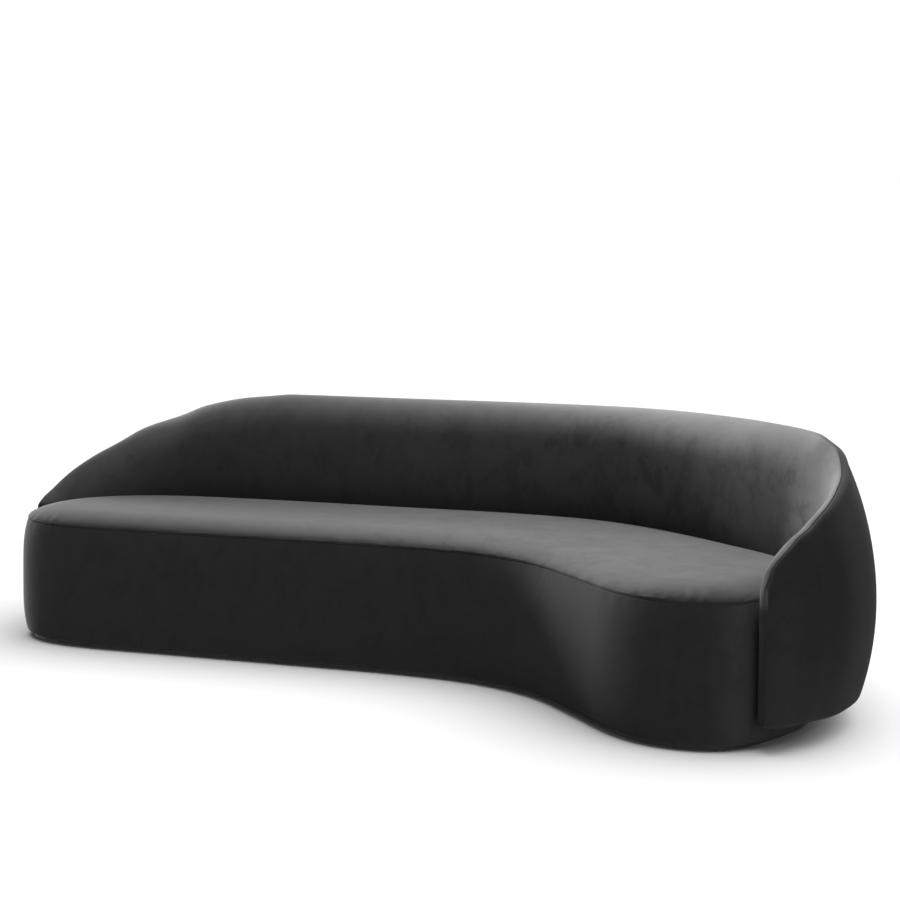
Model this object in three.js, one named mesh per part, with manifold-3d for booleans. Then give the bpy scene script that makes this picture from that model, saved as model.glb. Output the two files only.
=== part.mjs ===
// A curved sofa: a bean-shaped seat block and a wrap-round back, bolted together.
// Millimetres, Z up, the front faces -Y, and the floor is at zero.
import * as THREE from "three";
import { mergeVertices } from "three/addons/utils/BufferGeometryUtils.js";
import Module from "manifold-3d";

const wasm = await Module();
wasm.setup();

// Overall sizes of the seat block and the back
const seatWidth = 2713;
const seatDepth = 1167;
const seamHeight = 397;
const crownRise = 42;
const crownRun = 140;
const backHeight = 780;
const armTipHeight = 447;
const armDepth = 157;
const backDepth = 307;
const backLift = 78;
const seatToBackGap = 4;

// Wall shapes: how far the padded walls swell
const sideBulge = 17;
const sideFlare = 8;
const sideFootRadius = 12;
const wallArcRadius = 700;
const wallArcHeight = 335;
const wallBendRise = 6;
const wallFootRadius = 12;
const armEndRadius = 30;
const topRollRise = 130;
const topSeamWidth = 8;
const seamRoundHeight = 12;

// Cloth, foam and board thicknesses
const clearance = 0.3;
const coverThickness = 2.5;
const dustClothThickness = 2;
const dustClothInset = 6;
const sideFoamDepth = 18;
const insideFoamDepth = 30;
const outsidePaddingDepth = 12;
const skinThickness = 5;
const boardThickness = 15;
const deckThickness = 18;
const deckWidth = 90;
const ribThickness = 18;
const ribPlay = 0.8;
const railThickness = 18;
const coreThickness = 90;
const topperEdge = 27;
const topperInset = 8;

// Foot, webbing and fasteners
const glideThickness = 3;
const glideDiameter = 28;
const glideCount = 6;
const plinthHeight = 13;
const plinthInset = 12;
const plinthWidth = 60;
const hemWidth = 30;
const baseRibCount = 6;
const strapCount = 7;
const strapWidth = 60;
const strapThickness = 2;
const strapLanding = 25;
const boltAboveRail = 36;
const boltBelowDeck = 30;
const boltDiameter = 8;
const boltHeadDiameter = 30;
const boltHeadThickness = 4;
const boltProjection = 8;
const boltPlay = 0.5;
const nutFlangeDiameter = 26;
const nutFlangeThickness = 2;
const nutBarrelDiameter = 12;
const padDiameter = 46;
const fastenerPlay = 0.4;

// The seat block from above: shares of its width and depth, anticlockwise from the left of the front
const seatOutlineShares = [
  [0.049, 0.486],
  [0.104, 0.456],
  [0.252, 0.456],
  [0.418, 0.458],
  [0.528, 0.456],
  [0.62, 0.428],
  [0.698, 0.344],
  [0.771, 0.183],
  [0.823, 0.063],
  [0.867, 0.009],
  [0.919, 0.002],
  [0.95, 0.036],
  [0.978, 0.154],
  [1, 0.31],
  [0.993, 0.43],
  [0.959, 0.546],
  [0.886, 0.696],
  [0.797, 0.854],
  [0.709, 0.957],
  [0.602, 0.996],
  [0.436, 0.997],
  [0.233, 0.996],
  [0.123, 0.97],
  [0.053, 0.901],
  [0.012, 0.799],
  [-0.001, 0.679],
  [0.012, 0.559],
];

// Where the back starts and ends, as shares of the way round the seat block
const backStartShare = 0.408;
const backEndShare = 0.9468;

// Along the back from the right arm's end (0) to the left arm's end (1)
// How much of the arm's depth the wall has there
const armEndShares = [
  [0, 0.35],
  [0.0025, 0.5],
  [0.0076, 0.68],
  [0.0173, 0.79],
  [0.031, 0.9],
  [0.055, 1],
  [0.9, 1],
  [0.936, 0.91],
  [0.965, 0.65],
  [0.988, 0.42],
  [1, 0.3],
];
// How far the wall has swollen from the arm's depth to the back's
const swellShares = [
  [0, 0],
  [0.055, -0.02],
  [0.085, -0.1],
  [0.115, -0.14],
  [0.148, -0.03],
  [0.198, 0.52],
  [0.24, 0.82],
  [0.3, 0.98],
  [0.36, 1],
  [0.44, 0.9],
  [0.508, 0.82],
  [0.645, 0.8],
  [0.784, 0.8],
  [0.83, 0.76],
  [0.865, 0.63],
  [0.9, 0.4],
  [0.936, 0.02],
  [1, 0],
];
// How far the top has risen from the arm's tip to the back's full height
const riseShares = [
  [0, 0.02],
  [0.002, 0.17],
  [0.006, 0.27],
  [0.0116, 0.34],
  [0.0193, 0.405],
  [0.031, 0.46],
  [0.05, 0.565],
  [0.081, 0.68],
  [0.112, 0.79],
  [0.14, 0.915],
  [0.171, 0.99],
  [0.2, 1],
  [0.761, 1],
  [0.784, 0.976],
  [0.815, 0.94],
  [0.8515, 0.85],
  [0.8746, 0.735],
  [0.9054, 0.602],
  [0.9228, 0.478],
  [0.9439, 0.335],
  [0.9632, 0.19],
  [0.9825, 0.02],
  [0.992, -0.04],
  [1, -0.1],
];
// How much of the outer wall's arc is there
const arcShares = [
  [0, 0.1],
  [0.0076, 0.55],
  [0.02, 0.8],
  [0.04, 1],
  [0.08, 0.91],
  [0.107, 0.82],
  [0.137, 0.72],
  [0.171, 0.84],
  [0.21, 0.95],
  [0.26, 1],
  [0.95, 1],
  [0.985, 0.7],
  [1, 0.1],
];

// On the low arms the roll over the top takes at most this share of the rise above the bend,
// and it grows into its full rise with this power.
const mostRollShare = 0.85;
const rollBlendPower = 4;

// Stations and rows of the faceted surfaces
const seamPoints = 960;
const fairingPasses = 60;
const padColumns = 27;
const turnWeightShare = 1.6;
const padRows = 9;
const backStations = 36;
const endCrowdingShare = 0.9;
const lowerRowShares = [0.5];
const riseRowShares = [0.5, 1];
const topRailShares = [0.23, 0.33];
const topRollShares = [0.37, 0.55, 0.77, 1];
const frameStartShare = 0.195;
const frameEndShare = 0.86;
const backRibShares = [0.08, 0.21, 0.33, 0.5, 0.67, 0.79, 0.92];
const boltBays = [2, 4];
const glideSides = 16;
const boltSides = 8;
const weldTolerance = 0.001;
const footRowShare = 0.25;
const thinFootShare = 0.25;

// Levels, from the floor up
const plinthTop = glideThickness + plinthHeight;
const hemLevel = plinthTop + clearance;
const boardBottom = hemLevel + coverThickness + clearance;
const boardTop = boardBottom + boardThickness;
const topperTop = seamHeight - coverThickness - clearance;
const topperBottom = topperTop - topperEdge;
const coreBottom = topperBottom - coreThickness;
const deckTop = coreBottom - strapThickness;
const deckBottom = deckTop - deckThickness;
const wallBend = seamHeight + wallBendRise;
const railTop = backLift + dustClothThickness + clearance + railThickness;

// Insets of the seat block's layers from the seam line
const skinInset = sideFoamDepth + clearance;
const frameInset = skinInset + skinThickness + clearance;
const sideSwell = sideBulge + sideFlare;
const backLineOffset = sideSwell + seatToBackGap;

// Depths of the back's layers, measured in from each face
const coverDepth = coverThickness + clearance;
const insideSkinDepth = coverDepth + insideFoamDepth + clearance;
const insideFrameDepth = insideSkinDepth + skinThickness + clearance;
const outsideSkinDepth = coverDepth + outsidePaddingDepth + clearance;
const outsideFrameDepth = outsideSkinDepth + skinThickness + clearance;
const leastFrameDepth = insideFrameDepth + outsideFrameDepth + ribThickness;

// Finishes
const finishes = {
  velvet: { color: 0x454546, roughness: 0.85, metalness: 0 },
  foam: { color: 0xe6dcb4, roughness: 0.95, metalness: 0 },
  topper: { color: 0xf2efe6, roughness: 0.95, metalness: 0 },
  plywood: { color: 0xc9a36b, roughness: 0.7, metalness: 0 },
  plinth: { color: 0x151515, roughness: 0.6, metalness: 0 },
  webbing: { color: 0x2a2622, roughness: 0.9, metalness: 0 },
  cloth: { color: 0x1c1c1d, roughness: 0.95, metalness: 0 },
  steel: { color: 0xb4b7ba, roughness: 0.35, metalness: 1 },
  plastic: { color: 0x202020, roughness: 0.5, metalness: 0 },
  rubber: { color: 0x262626, roughness: 0.8, metalness: 0 },
};

const assembly = new THREE.Group();

// Adds one named piece to the sofa.
function addPiece(name, geometry, finish, placement = new THREE.Matrix4()) {
  const mesh = new THREE.Mesh(geometry, new THREE.MeshStandardMaterial(finishes[finish]));
  mesh.name = name;
  mesh.applyMatrix4(placement);
  assembly.add(mesh);
}

// A value between the rows of a table of shares, without overshoot.
function valueAt(rows, x) {
  const slopes = rows.slice(1).map((row, i) => (row[1] - rows[i][1]) / (row[0] - rows[i][0]));
  const tangent = (i) => {
    if (i === 0 || i === rows.length - 1) return slopes[Math.min(i, slopes.length - 1)];
    const product = slopes[i - 1] * slopes[i];
    return product <= 0 ? 0 : (2 * product) / (slopes[i - 1] + slopes[i]);
  };
  let i = 0;
  while (i < rows.length - 2 && x > rows[i + 1][0]) i += 1;
  const span = rows[i + 1][0] - rows[i][0];
  const t = (x - rows[i][0]) / span;
  const rise = rows[i + 1][1] - rows[i][1];
  const a = tangent(i) * span;
  const b = tangent(i + 1) * span;
  return rows[i][1] + t * (a + t * (3 * rise - 2 * a - b + t * (a + b - 2 * rise)));
}

// The seam line as a dense closed loop of points with outward normals, evenly spaced and faired.
function seamLoop() {
  const corners = seatOutlineShares.map(
    ([x, y]) => new THREE.Vector3(x * seatWidth, y * seatDepth, 0),
  );
  const curve = new THREE.CatmullRomCurve3(corners, true, "centripetal");
  curve.arcLengthDivisions = seamPoints * 2;
  let points = curve.getSpacedPoints(seamPoints).slice(0, seamPoints);
  const around = (i) => points[(i + seamPoints) % seamPoints];
  for (let pass = 0; pass < fairingPasses; pass += 1) {
    points = points.map((point, i) => {
      const middle = around(i - 1).clone().add(around(i + 1)).multiplyScalar(0.5);
      return middle.add(point).multiplyScalar(0.5);
    });
  }
  return points.map((point, i) => {
    const along = around(i + 1).clone().sub(around(i - 1)).normalize();
    return { point, normal: new THREE.Vector3(along.y, -along.x, 0) };
  });
}

const seam = seamLoop();

// The place and outward normal at a share of the way round the seam line.
function onSeam(share) {
  const place = (((share % 1) + 1) % 1) * seam.length;
  const i = Math.floor(place);
  const next = seam[(i + 1) % seam.length];
  return {
    point: seam[i].point.clone().lerp(next.point, place - i),
    normal: seam[i].normal.clone().lerp(next.normal, place - i).normalize(),
  };
}

// Shares of the way round, closer together where the seam line turns.
function spreadShares(from, to, count) {
  const steps = seam.length;
  const weights = [0];
  for (let i = 0; i < steps; i += 1) {
    const here = onSeam(from + ((to - from) * i) / steps);
    const next = onSeam(from + ((to - from) * (i + 1)) / steps);
    const turn = here.normal.angleTo(next.normal) / (2 * Math.PI);
    weights.push(weights[i] + (to - from) / steps + turnWeightShare * turn);
  }
  return Array.from({ length: count + 1 }, (_, k) => {
    const wanted = (weights[steps] * k) / count;
    let i = 0;
    while (i < steps - 1 && weights[i + 1] < wanted) i += 1;
    const t = (wanted - weights[i]) / (weights[i + 1] - weights[i]);
    return from + ((to - from) * (i + t)) / steps;
  });
}

// One closed body between two grids of points, rimmed round its edges.
// at(i, j, side) gives a point: i runs along, j across, and side is 0 or 1.
function slab(columns, rows, at, isLoop = false) {
  const positions = [];
  const index = [];
  const stride = (rows + 1) * 2;
  const lastColumn = isLoop ? columns - 1 : columns;
  for (let i = 0; i <= lastColumn; i += 1) {
    for (let j = 0; j <= rows; j += 1) {
      positions.push(...at(i, j, 0).toArray(), ...at(i, j, 1).toArray());
    }
  }
  const vertex = (i, j, side) => (isLoop ? i % columns : i) * stride + j * 2 + side;
  const quad = (a, b, c, d) => index.push(a, b, c, a, c, d);
  for (let i = 0; i < columns; i += 1) {
    for (let j = 0; j < rows; j += 1) {
      quad(vertex(i, j, 0), vertex(i + 1, j, 0), vertex(i + 1, j + 1, 0), vertex(i, j + 1, 0));
      quad(vertex(i, j, 1), vertex(i, j + 1, 1), vertex(i + 1, j + 1, 1), vertex(i + 1, j, 1));
    }
    quad(vertex(i, 0, 0), vertex(i, 0, 1), vertex(i + 1, 0, 1), vertex(i + 1, 0, 0));
    quad(vertex(i, rows, 0), vertex(i + 1, rows, 0), vertex(i + 1, rows, 1), vertex(i, rows, 1));
  }
  for (let j = 0; j < rows && !isLoop; j += 1) {
    quad(vertex(0, j, 0), vertex(0, j + 1, 0), vertex(0, j + 1, 1), vertex(0, j, 1));
    quad(vertex(columns, j + 1, 0), vertex(columns, j, 0), vertex(columns, j, 1), vertex(columns, j + 1, 1));
  }
  const geometry = new THREE.BufferGeometry();
  geometry.setAttribute("position", new THREE.Float32BufferAttribute(positions, 3));
  geometry.setIndex(index);
  return facedOutward(mergeVertices(geometry, weldTolerance));
}

// Drops collapsed triangles and turns a body whose faces point inward.
function facedOutward(geometry) {
  const points = geometry.getAttribute("position");
  const corner = (k) => new THREE.Vector3().fromBufferAttribute(points, k);
  let kept = [];
  let volume = 0;
  for (let i = 0; i < geometry.index.count; i += 3) {
    const [a, b, c] = geometry.index.array.slice(i, i + 3);
    if (a === b || b === c || c === a) continue;
    kept.push([a, b, c]);
    volume += corner(a).dot(corner(b).cross(corner(c)));
  }
  if (volume < 0) kept = kept.map(([a, b, c]) => [c, b, a]);
  geometry.setIndex(kept.flat());
  return geometry;
}

// The seam is split at its two ends into a front and a back with as many stations each.
const leftmost = seam.reduce((best, place, i) => (place.point.x < seam[best].point.x ? i : best), 0);
const rightmost = seam.reduce((best, place, i) => (place.point.x > seam[best].point.x ? i : best), 0);
const leftEnd = leftmost / seam.length;
const rightEnd = rightmost / seam.length;
const frontShares = spreadShares(leftEnd - 1, rightEnd, padColumns);
const backShares = spreadShares(rightEnd, leftEnd, padColumns);
const loopPlaces = [...frontShares.slice(1), ...backShares.slice(1)].map(onSeam);

// A point of the seat block: an offset outward from the seam line, at a height.
function blockPoint(place, offset, height) {
  return place.point.clone().addScaledVector(place.normal, offset).setZ(height);
}

// A closed ring round the seat block between two profiles of [offset, height] points.
function ring(outerProfile, innerProfile) {
  const profiles = [outerProfile, innerProfile];
  return slab(
    loopPlaces.length,
    outerProfile.length - 1,
    (i, j, side) => blockPoint(loopPlaces[i], ...profiles[side][j]),
    true,
  );
}

// The seat block's side wall: how far it stands out from the seam line at a height.
function sideOffset(height) {
  const t = (height - hemLevel) / (seamHeight - hemLevel);
  const up = Math.max(sideFootRadius - (height - hemLevel), 0);
  const foot = sideFootRadius - Math.sqrt(sideFootRadius ** 2 - up ** 2);
  return sideFlare * (1 - t) + sideBulge * (1 - (2 * t - 1) ** 4) - foot;
}

// A profile moved in by a distance along its own normals.
function insetProfile(profile, distance) {
  return profile.map(([x, z], i) => {
    const before = profile[Math.max(i - 1, 0)];
    const after = profile[Math.min(i + 1, profile.length - 1)];
    const along = new THREE.Vector2(after[0] - before[0], after[1] - before[1]).normalize();
    return [x + along.y * distance, z - along.x * distance];
  });
}

const sideHeights = [
  seamHeight,
  seamHeight - seamRoundHeight,
  topperBottom - clearance,
  (seamHeight + boardTop) / 2,
  boardTop + sideFootRadius,
  hemLevel + sideFootRadius,
  hemLevel + sideFootRadius * footRowShare,
  hemLevel,
];
const sideProfile = sideHeights.map((height) => [sideOffset(height), height]);

// How far the side wall's facets stand out from the seam line at a height.
function sideFaceAt(height) {
  const below = sideProfile.findIndex(([, level]) => level <= height);
  const [upper, lower] = [sideProfile[below - 1], sideProfile[below]];
  return lower[0] + ((upper[0] - lower[0]) * (height - lower[1])) / (upper[1] - lower[1]);
}

// The facet of the seat block's back wall at one x: a point on it, and its own normal.
function facetAt(x) {
  const line = loopPlaces.slice(padColumns - 1).map((place) => place.point);
  const k = line.findIndex((point, i) => i > 0 && point.x <= x);
  const [right, left] = [line[k - 1], line[k]];
  const along = left.clone().sub(right).normalize();
  const point = right.clone().lerp(left, (right.x - x) / (right.x - left.x));
  return { point, normal: new THREE.Vector3(along.y, -along.x, 0) };
}

// How far it is from a place, along its normal, to a line of points in the plan.
function reachTo(place, line) {
  const side = (point) => {
    const way = point.clone().sub(place.point);
    return way.x * place.normal.y - way.y * place.normal.x;
  };
  const reaches = line.slice(1).flatMap((point, k) => {
    const [before, after] = [side(line[k]), side(point)];
    if (before * after > 0) return [];
    const crossing = line[k].clone().lerp(point, before / (before - after));
    return [crossing.sub(place.point).dot(place.normal)];
  });
  return reaches.reduce((best, reach) => (Math.abs(reach) < Math.abs(best) ? reach : best));
}

// The same, at both edges and the middle of a fastener of some width.
function reachesAcross(place, line, width) {
  const aside = new THREE.Vector3(-place.normal.y, place.normal.x, 0);
  return [-width / 2, 0, width / 2].map((step) => {
    const point = place.point.clone().addScaledVector(aside, step);
    return reachTo({ point, normal: place.normal }, line);
  });
}

// The placement of a joining bolt: level, out through the seat block's wall along its normal.
function boltLine(place, offset, height) {
  const along = place.normal;
  const up = new THREE.Vector3(0, 0, 1);
  const across = along.clone().cross(up);
  const turn = new THREE.Matrix4().makeBasis(across, along, up);
  return turn.setPosition(blockPoint(place, offset, height));
}

// Bores a round hole along every joining bolt.
function drilled(geometry, diameter) {
  const solid = solidFrom(geometry);
  const reach = backLineOffset + backDepth;
  const holes = boltLines.map(({ place, height }) => {
    const rod = new THREE.CylinderGeometry(diameter / 2, diameter / 2, reach * 2, boltSides);
    return solidFrom(rod.applyMatrix4(boltLine(place, 0, height)));
  });
  const cut = solid.subtract(wasm.Manifold.union(holes)).getMesh();
  const bored = new THREE.BufferGeometry();
  bored.setAttribute("position", new THREE.BufferAttribute(cut.vertProperties, cut.numProp));
  bored.setIndex(new THREE.BufferAttribute(cut.triVerts, 1));
  return bored;
}

function solidFrom(geometry) {
  const bare = geometry.clone();
  bare.deleteAttribute("normal");
  bare.deleteAttribute("uv");
  const merged = mergeVertices(bare, weldTolerance);
  return new wasm.Manifold(
    new wasm.Mesh({
      numProp: 3,
      vertProperties: merged.getAttribute("position").array,
      triVerts: new Uint32Array(merged.index.array),
    }),
  );
}

function addSideCover() {
  const outer = [...sideProfile, [-hemWidth, hemLevel]];
  const inner = insetProfile(outer, coverThickness);
  inner[0] = [-coverThickness, seamHeight];
  addPiece("seat_side_cover", drilled(ring(outer, inner), boltHole), "velvet");
}

function addSideFoam() {
  const rows = insetProfile(sideProfile, coverDepth).slice(2, 6);
  const outer = [...rows, [-sideFoamDepth / 2, boardBottom]];
  outer[0][1] = topperBottom - clearance;
  const inner = outer.map(([, height]) => [-sideFoamDepth, height]);
  addPiece("seat_side_foam", drilled(ring(outer, inner), boltHole), "foam");
}

// A flat-faced ring with an upright inner and outer edge.
function flatRing(outerOffset, width, bottom, top) {
  const outer = [
    [outerOffset, bottom],
    [outerOffset, top],
  ];
  return ring(outer, outer.map(([offset, height]) => [offset - width, height]));
}

// The seat block's outline as a flat shape, moved in by an inset.
function insetPlan(inset) {
  return loopPlaces.map((place) => blockPoint(place, -inset, 0));
}

function board(inset, bottom, thickness) {
  const shape = new THREE.Shape(insetPlan(inset).map((point) => new THREE.Vector2(point.x, point.y)));
  const geometry = new THREE.ExtrudeGeometry(shape, { depth: thickness, bevelEnabled: false });
  return geometry.translate(0, 0, bottom);
}

function addSeatFrame() {
  addPiece("plinth", flatRing(-plinthInset, plinthWidth, glideThickness, plinthTop), "plinth");
  addPiece("base_board", board(frameInset, boardBottom, boardThickness), "plywood");
  const skin = flatRing(-skinInset, skinThickness, boardBottom, deckTop);
  addPiece("seat_side_skin", drilled(skin, boltHole), "plywood");
  addPiece("deck_ring", flatRing(-frameInset, deckWidth, deckBottom, deckTop), "plywood");
  addPiece("seat_core", board(skinInset, coreBottom, coreThickness), "foam");
}

// Front and back of the seat block at one x, inside an inset outline.
function spanAt(x, inset) {
  const plan = insetPlan(inset);
  const crossings = plan.flatMap((a, i) => {
    const b = plan[(i + 1) % plan.length];
    return (a.x - x) * (b.x - x) < 0 ? [a.y + ((b.y - a.y) * (x - a.x)) / (b.x - a.x)] : [];
  });
  return [Math.min(...crossings), Math.max(...crossings)];
}

// A bar across the seat block, as long as its two long edges both allow.
function crossBar(x, width, inset, bottom, thickness) {
  const left = spanAt(x - width / 2, inset);
  const right = spanAt(x + width / 2, inset);
  const front = Math.max(left[0], right[0]);
  const back = Math.min(left[1], right[1]);
  return new THREE.BoxGeometry(width, back - front, thickness).translate(
    x,
    (front + back) / 2,
    bottom + thickness / 2,
  );
}

function addCrossBars() {
  for (let k = 0; k < baseRibCount; k += 1) {
    const x = (seatWidth * (k + 0.5)) / baseRibCount;
    const bar = crossBar(x, ribThickness, frameInset, boardTop, deckBottom - boardTop);
    addPiece(`base_rib_${k + 1}`, bar, "plywood");
  }
  for (let k = 0; k < strapCount; k += 1) {
    const x = (seatWidth * (k + 0.5)) / strapCount;
    const strap = crossBar(x, strapWidth, frameInset + strapLanding, deckTop, strapThickness);
    addPiece(`webbing_${k + 1}`, strap, "webbing");
  }
}

function addGlides() {
  for (let k = 0; k < glideCount; k += 1) {
    const place = onSeam((k + 0.5) / glideCount);
    const centre = blockPoint(place, -plinthInset - plinthWidth / 2, glideThickness / 2);
    const disc = new THREE.CylinderGeometry(
      glideDiameter / 2,
      glideDiameter / 2,
      glideThickness,
      glideSides,
    ).rotateX(Math.PI / 2);
    addPiece(`glide_${k + 1}`, disc.translate(...centre.toArray()), "plastic");
  }
}

// How far across from front to back a row lies, closer together at the edges.
function acrossShare(row) {
  return (1 - Math.cos((Math.PI * row) / padRows)) / 2;
}

// The seat's crowned pads are gridded between matched stations on the front and the back.
function padPlan(column, across, inset) {
  const front = blockPoint(onSeam(frontShares[column]), -inset, 0);
  const back = blockPoint(onSeam(backShares[padColumns - column]), -inset, 0);
  return front.lerp(back, across);
}

// The crown's height over the seam at a distance in from the seam line.
function crownAt(point) {
  const distance = Math.min(...seam.map((place) => place.point.distanceTo(point)));
  const t = 1 - Math.min(distance / crownRun, 1);
  return crownRise * Math.sqrt(1 - t ** 2);
}

function addSeatPads() {
  const topper = slab(padColumns, padRows, (i, j, side) => {
    const across = acrossShare(j);
    const rise = crownAt(padPlan(i, across, 0));
    const height = side === 0 ? topperTop + rise : topperBottom;
    return padPlan(i, across, topperInset).setZ(height);
  });
  addPiece("seat_topper", topper, "topper");
  const cover = slab(padColumns, padRows, (i, j, side) => {
    const across = acrossShare(j);
    const height = seamHeight + clearance + crownAt(padPlan(i, across, 0));
    const under = Math.max(height - coverThickness, seamHeight + clearance);
    return padPlan(i, across, side * coverThickness).setZ(side === 0 ? height : under);
  });
  addPiece("seat_top_cover", cover, "velvet");
}

// The back's outer arc: how far the wall has fallen in from its fullest at a height.
function arcFall(height) {
  return wallArcRadius - Math.sqrt(wallArcRadius ** 2 - (height - wallArcHeight) ** 2);
}

function roundFall(distance, radius) {
  const rest = Math.max(radius - distance, 0);
  return radius - Math.sqrt(radius ** 2 - rest ** 2);
}

// The stations of the back, closer together at the two arm ends.
const backPlaces = Array.from({ length: backStations + 1 }, (_, k) => {
  const t = k / backStations;
  const along = t - (endCrowdingShare * Math.sin(2 * Math.PI * t)) / (2 * Math.PI);
  const place = onSeam(backStartShare + along * (backEndShare - backStartShare));
  const depth =
    armDepth * valueAt(armEndShares, along) + (backDepth - armDepth) * valueAt(swellShares, along);
  const top = armTipHeight + (backHeight - armTipHeight) * valueAt(riseShares, along);
  return { place, depth, top, arc: valueAt(arcShares, along) };
});
const innerLength = backPlaces
  .slice(1)
  .reduce((sum, next, k) => sum + next.place.point.distanceTo(backPlaces[k].place.point), 0);
let walked = 0;
backPlaces.forEach((station, k) => {
  if (k > 0) walked += station.place.point.distanceTo(backPlaces[k - 1].place.point);
  const fromEnd = Math.min(walked, innerLength - walked);
  station.lift = roundFall(fromEnd, armEndRadius);
});

// The rows of the back's section: up to the seat's level first, then on to the top seam.
const uprightHeights = [
  backLift,
  backLift + dustClothThickness + clearance,
  railTop,
  ...lowerRowShares.map((share) => railTop + share * (wallBend - railTop)),
  wallBend,
];
const boltRow = uprightHeights.length - 2;

// Rows above the seat: the rest of the upright face, then the quarter turn over the top
const turnShares = [...topRailShares, ...topRollShares];
const railRow = uprightHeights.length + riseRowShares.length;
const frameTopRow = railRow + topRailShares.length - 1;
const rollRow = railRow + topRailShares.length;
const backRowCount = railRow + turnShares.length;

// Stations between which the timber frame stands, and those of its ribs
const frameStartStation = Math.round(frameStartShare * backStations);
const frameEndStation = Math.round(frameEndShare * backStations);
const backRibStations = backRibShares.map((share) =>
  Math.round(frameStartStation + share * (frameEndStation - frameStartStation)),
);

function outerReach(station, height) {
  const foot = roundFall(height - backLift, wallFootRadius);
  const mostFoot = (station.depth - station.lift) * thinFootShare;
  return station.depth - station.arc * arcFall(height) - Math.min(foot, mostFoot);
}

// How high the roll over the top is where the wall rises so far above the bend.
function rollRise(rise) {
  const least = (1 / mostRollShare) ** rollBlendPower;
  return rise / (least + (rise / topRollRise) ** rollBlendPower) ** (1 / rollBlendPower);
}

// The two faces of the back's section at one row, as [reach, height] pairs.
function sectionRow(station, row) {
  if (row < uprightHeights.length) {
    const height = uprightHeights[row];
    return [
      [station.lift, height],
      [outerReach(station, height), height],
    ];
  }
  const rise = station.top - wallBend;
  const roll = rollRise(rise);
  if (row < railRow) {
    const height = wallBend + (rise - roll) * riseRowShares[row - uprightHeights.length];
    return [
      [station.lift, height],
      [outerReach(station, height), height],
    ];
  }
  const turn = turnShares[row - railRow];
  const angle = (turn * Math.PI) / 2;
  const run = outerReach(station, station.top) - topSeamWidth - station.lift;
  const height = station.top - roll * (1 - Math.sin(angle));
  const outerHeight = turn > topRollShares[0] ? rollBack(station.top, roll, turn) : height;
  return [
    [station.lift + run * (1 - Math.cos(angle)), height],
    [outerReach(station, outerHeight), outerHeight],
  ];
}

// Over the roll, the outer face's rows rise evenly from the roll's foot to the top seam.
function rollBack(top, roll, turn) {
  const foot = top - roll * (1 - Math.sin((topRollShares[0] * Math.PI) / 2));
  return foot + ((top - foot) * (turn - topRollShares[0])) / (1 - topRollShares[0]);
}

const backGrid = backPlaces.map((station) =>
  Array.from({ length: backRowCount }, (_, row) =>
    sectionRow(station, row).map(([reach, height]) =>
      blockPoint(station.place, backLineOffset + reach, height),
    ),
  ),
);

// A grid point moved in from the inside (0) or outside (1) face by a depth.
// Behind the cover, the layers draw together where the wall is thin.
function layerNode(i, j, face, depth) {
  const start = backGrid[i][j][face];
  const end = backGrid[i][j][1 - face];
  const whole = start.distanceTo(end);
  const cover = Math.min(depth, coverDepth);
  const room = whole - 2 * coverDepth;
  const rest = (Math.max(depth - coverDepth, 0) * room) / Math.max(room, leastFrameDepth);
  return start.clone().lerp(end, (cover + rest) / whole);
}

// A point of a layer between stations and rows, on the layer's own facets.
function layerPoint(station, row, face, depth) {
  const i = Math.min(Math.floor(station), backStations - 1);
  const j = Math.min(Math.floor(row), backRowCount - 2);
  const along = station - i;
  const up = row - j;
  const near = layerNode(i, j, face, depth);
  const far = layerNode(i + 1, j + 1, face, depth);
  const corner = along > up ? layerNode(i + 1, j, face, depth) : layerNode(i, j + 1, face, depth);
  const most = Math.max(along, up);
  const least = Math.min(along, up);
  return near
    .multiplyScalar(1 - most)
    .addScaledVector(corner, most - least)
    .addScaledVector(far, least);
}

// Whole station or row numbers with a first and a last that need not be whole.
function steps(from, to) {
  const whole = [];
  for (let k = Math.floor(from) + 1; k < to; k += 1) whole.push(k);
  return [from, ...whole, to];
}

// One piece of the back: a range of stations and rows, between a layer by each face.
function backPiece(stations, rows, insideLayer, outsideLayer) {
  const layers = [insideLayer, outsideLayer];
  return slab(stations.length - 1, rows.length - 1, (i, j, side) =>
    layerPoint(stations[i], rows[j], ...layers[side]),
  );
}

// A small step along the back, in stations, that makes a gap of the usual clearance.
function stationStep(station) {
  const i = Math.min(Math.floor(station), backStations - 1);
  return clearance / backGrid[i][0][0].distanceTo(backGrid[i + 1][0][0]);
}

// A small step up the section, in rows, that makes a gap of the usual clearance in every station.
function rowStep(row) {
  const j = Math.min(Math.floor(row), backRowCount - 2);
  const spans = backGrid
    .slice(frameStartStation, frameEndStation + 1)
    .flatMap((rows) => [0, 1].map((face) => rows[j][face].distanceTo(rows[j + 1][face])));
  return clearance / Math.min(...spans);
}

const boltLines = boltBays.flatMap((bay) =>
  [railTop + boltAboveRail, deckBottom - boltBelowDeck].map((height) => ({
    place: facetAt((seatWidth * bay) / baseRibCount),
    height,
  })),
);
const boltHole = boltDiameter + 2 * boltPlay;
const nutHole = nutBarrelDiameter + 2 * boltPlay;
const wholeBack = steps(0, backStations);
const wholeWall = steps(0, backRowCount - 1);
const frameStations = steps(frameStartStation, frameEndStation);
const frameRows = steps(1, frameTopRow);

function addBackCovers() {
  const inside = backPiece(wholeBack, wholeWall, [0, 0], [0, coverThickness]);
  addPiece("back_inside_cover", drilled(inside, boltHole), "velvet");
  const outside = backPiece(wholeBack, wholeWall, [1, coverThickness], [1, 0]);
  addPiece("back_outside_cover", outside, "velvet");
  const dustCloth = backPiece(
    steps(1, backStations - 1),
    [0, 1 - rowStep(0)],
    [0, dustClothInset],
    [1, dustClothInset],
  );
  addPiece("back_dust_cover", dustCloth, "cloth");
}

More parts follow.
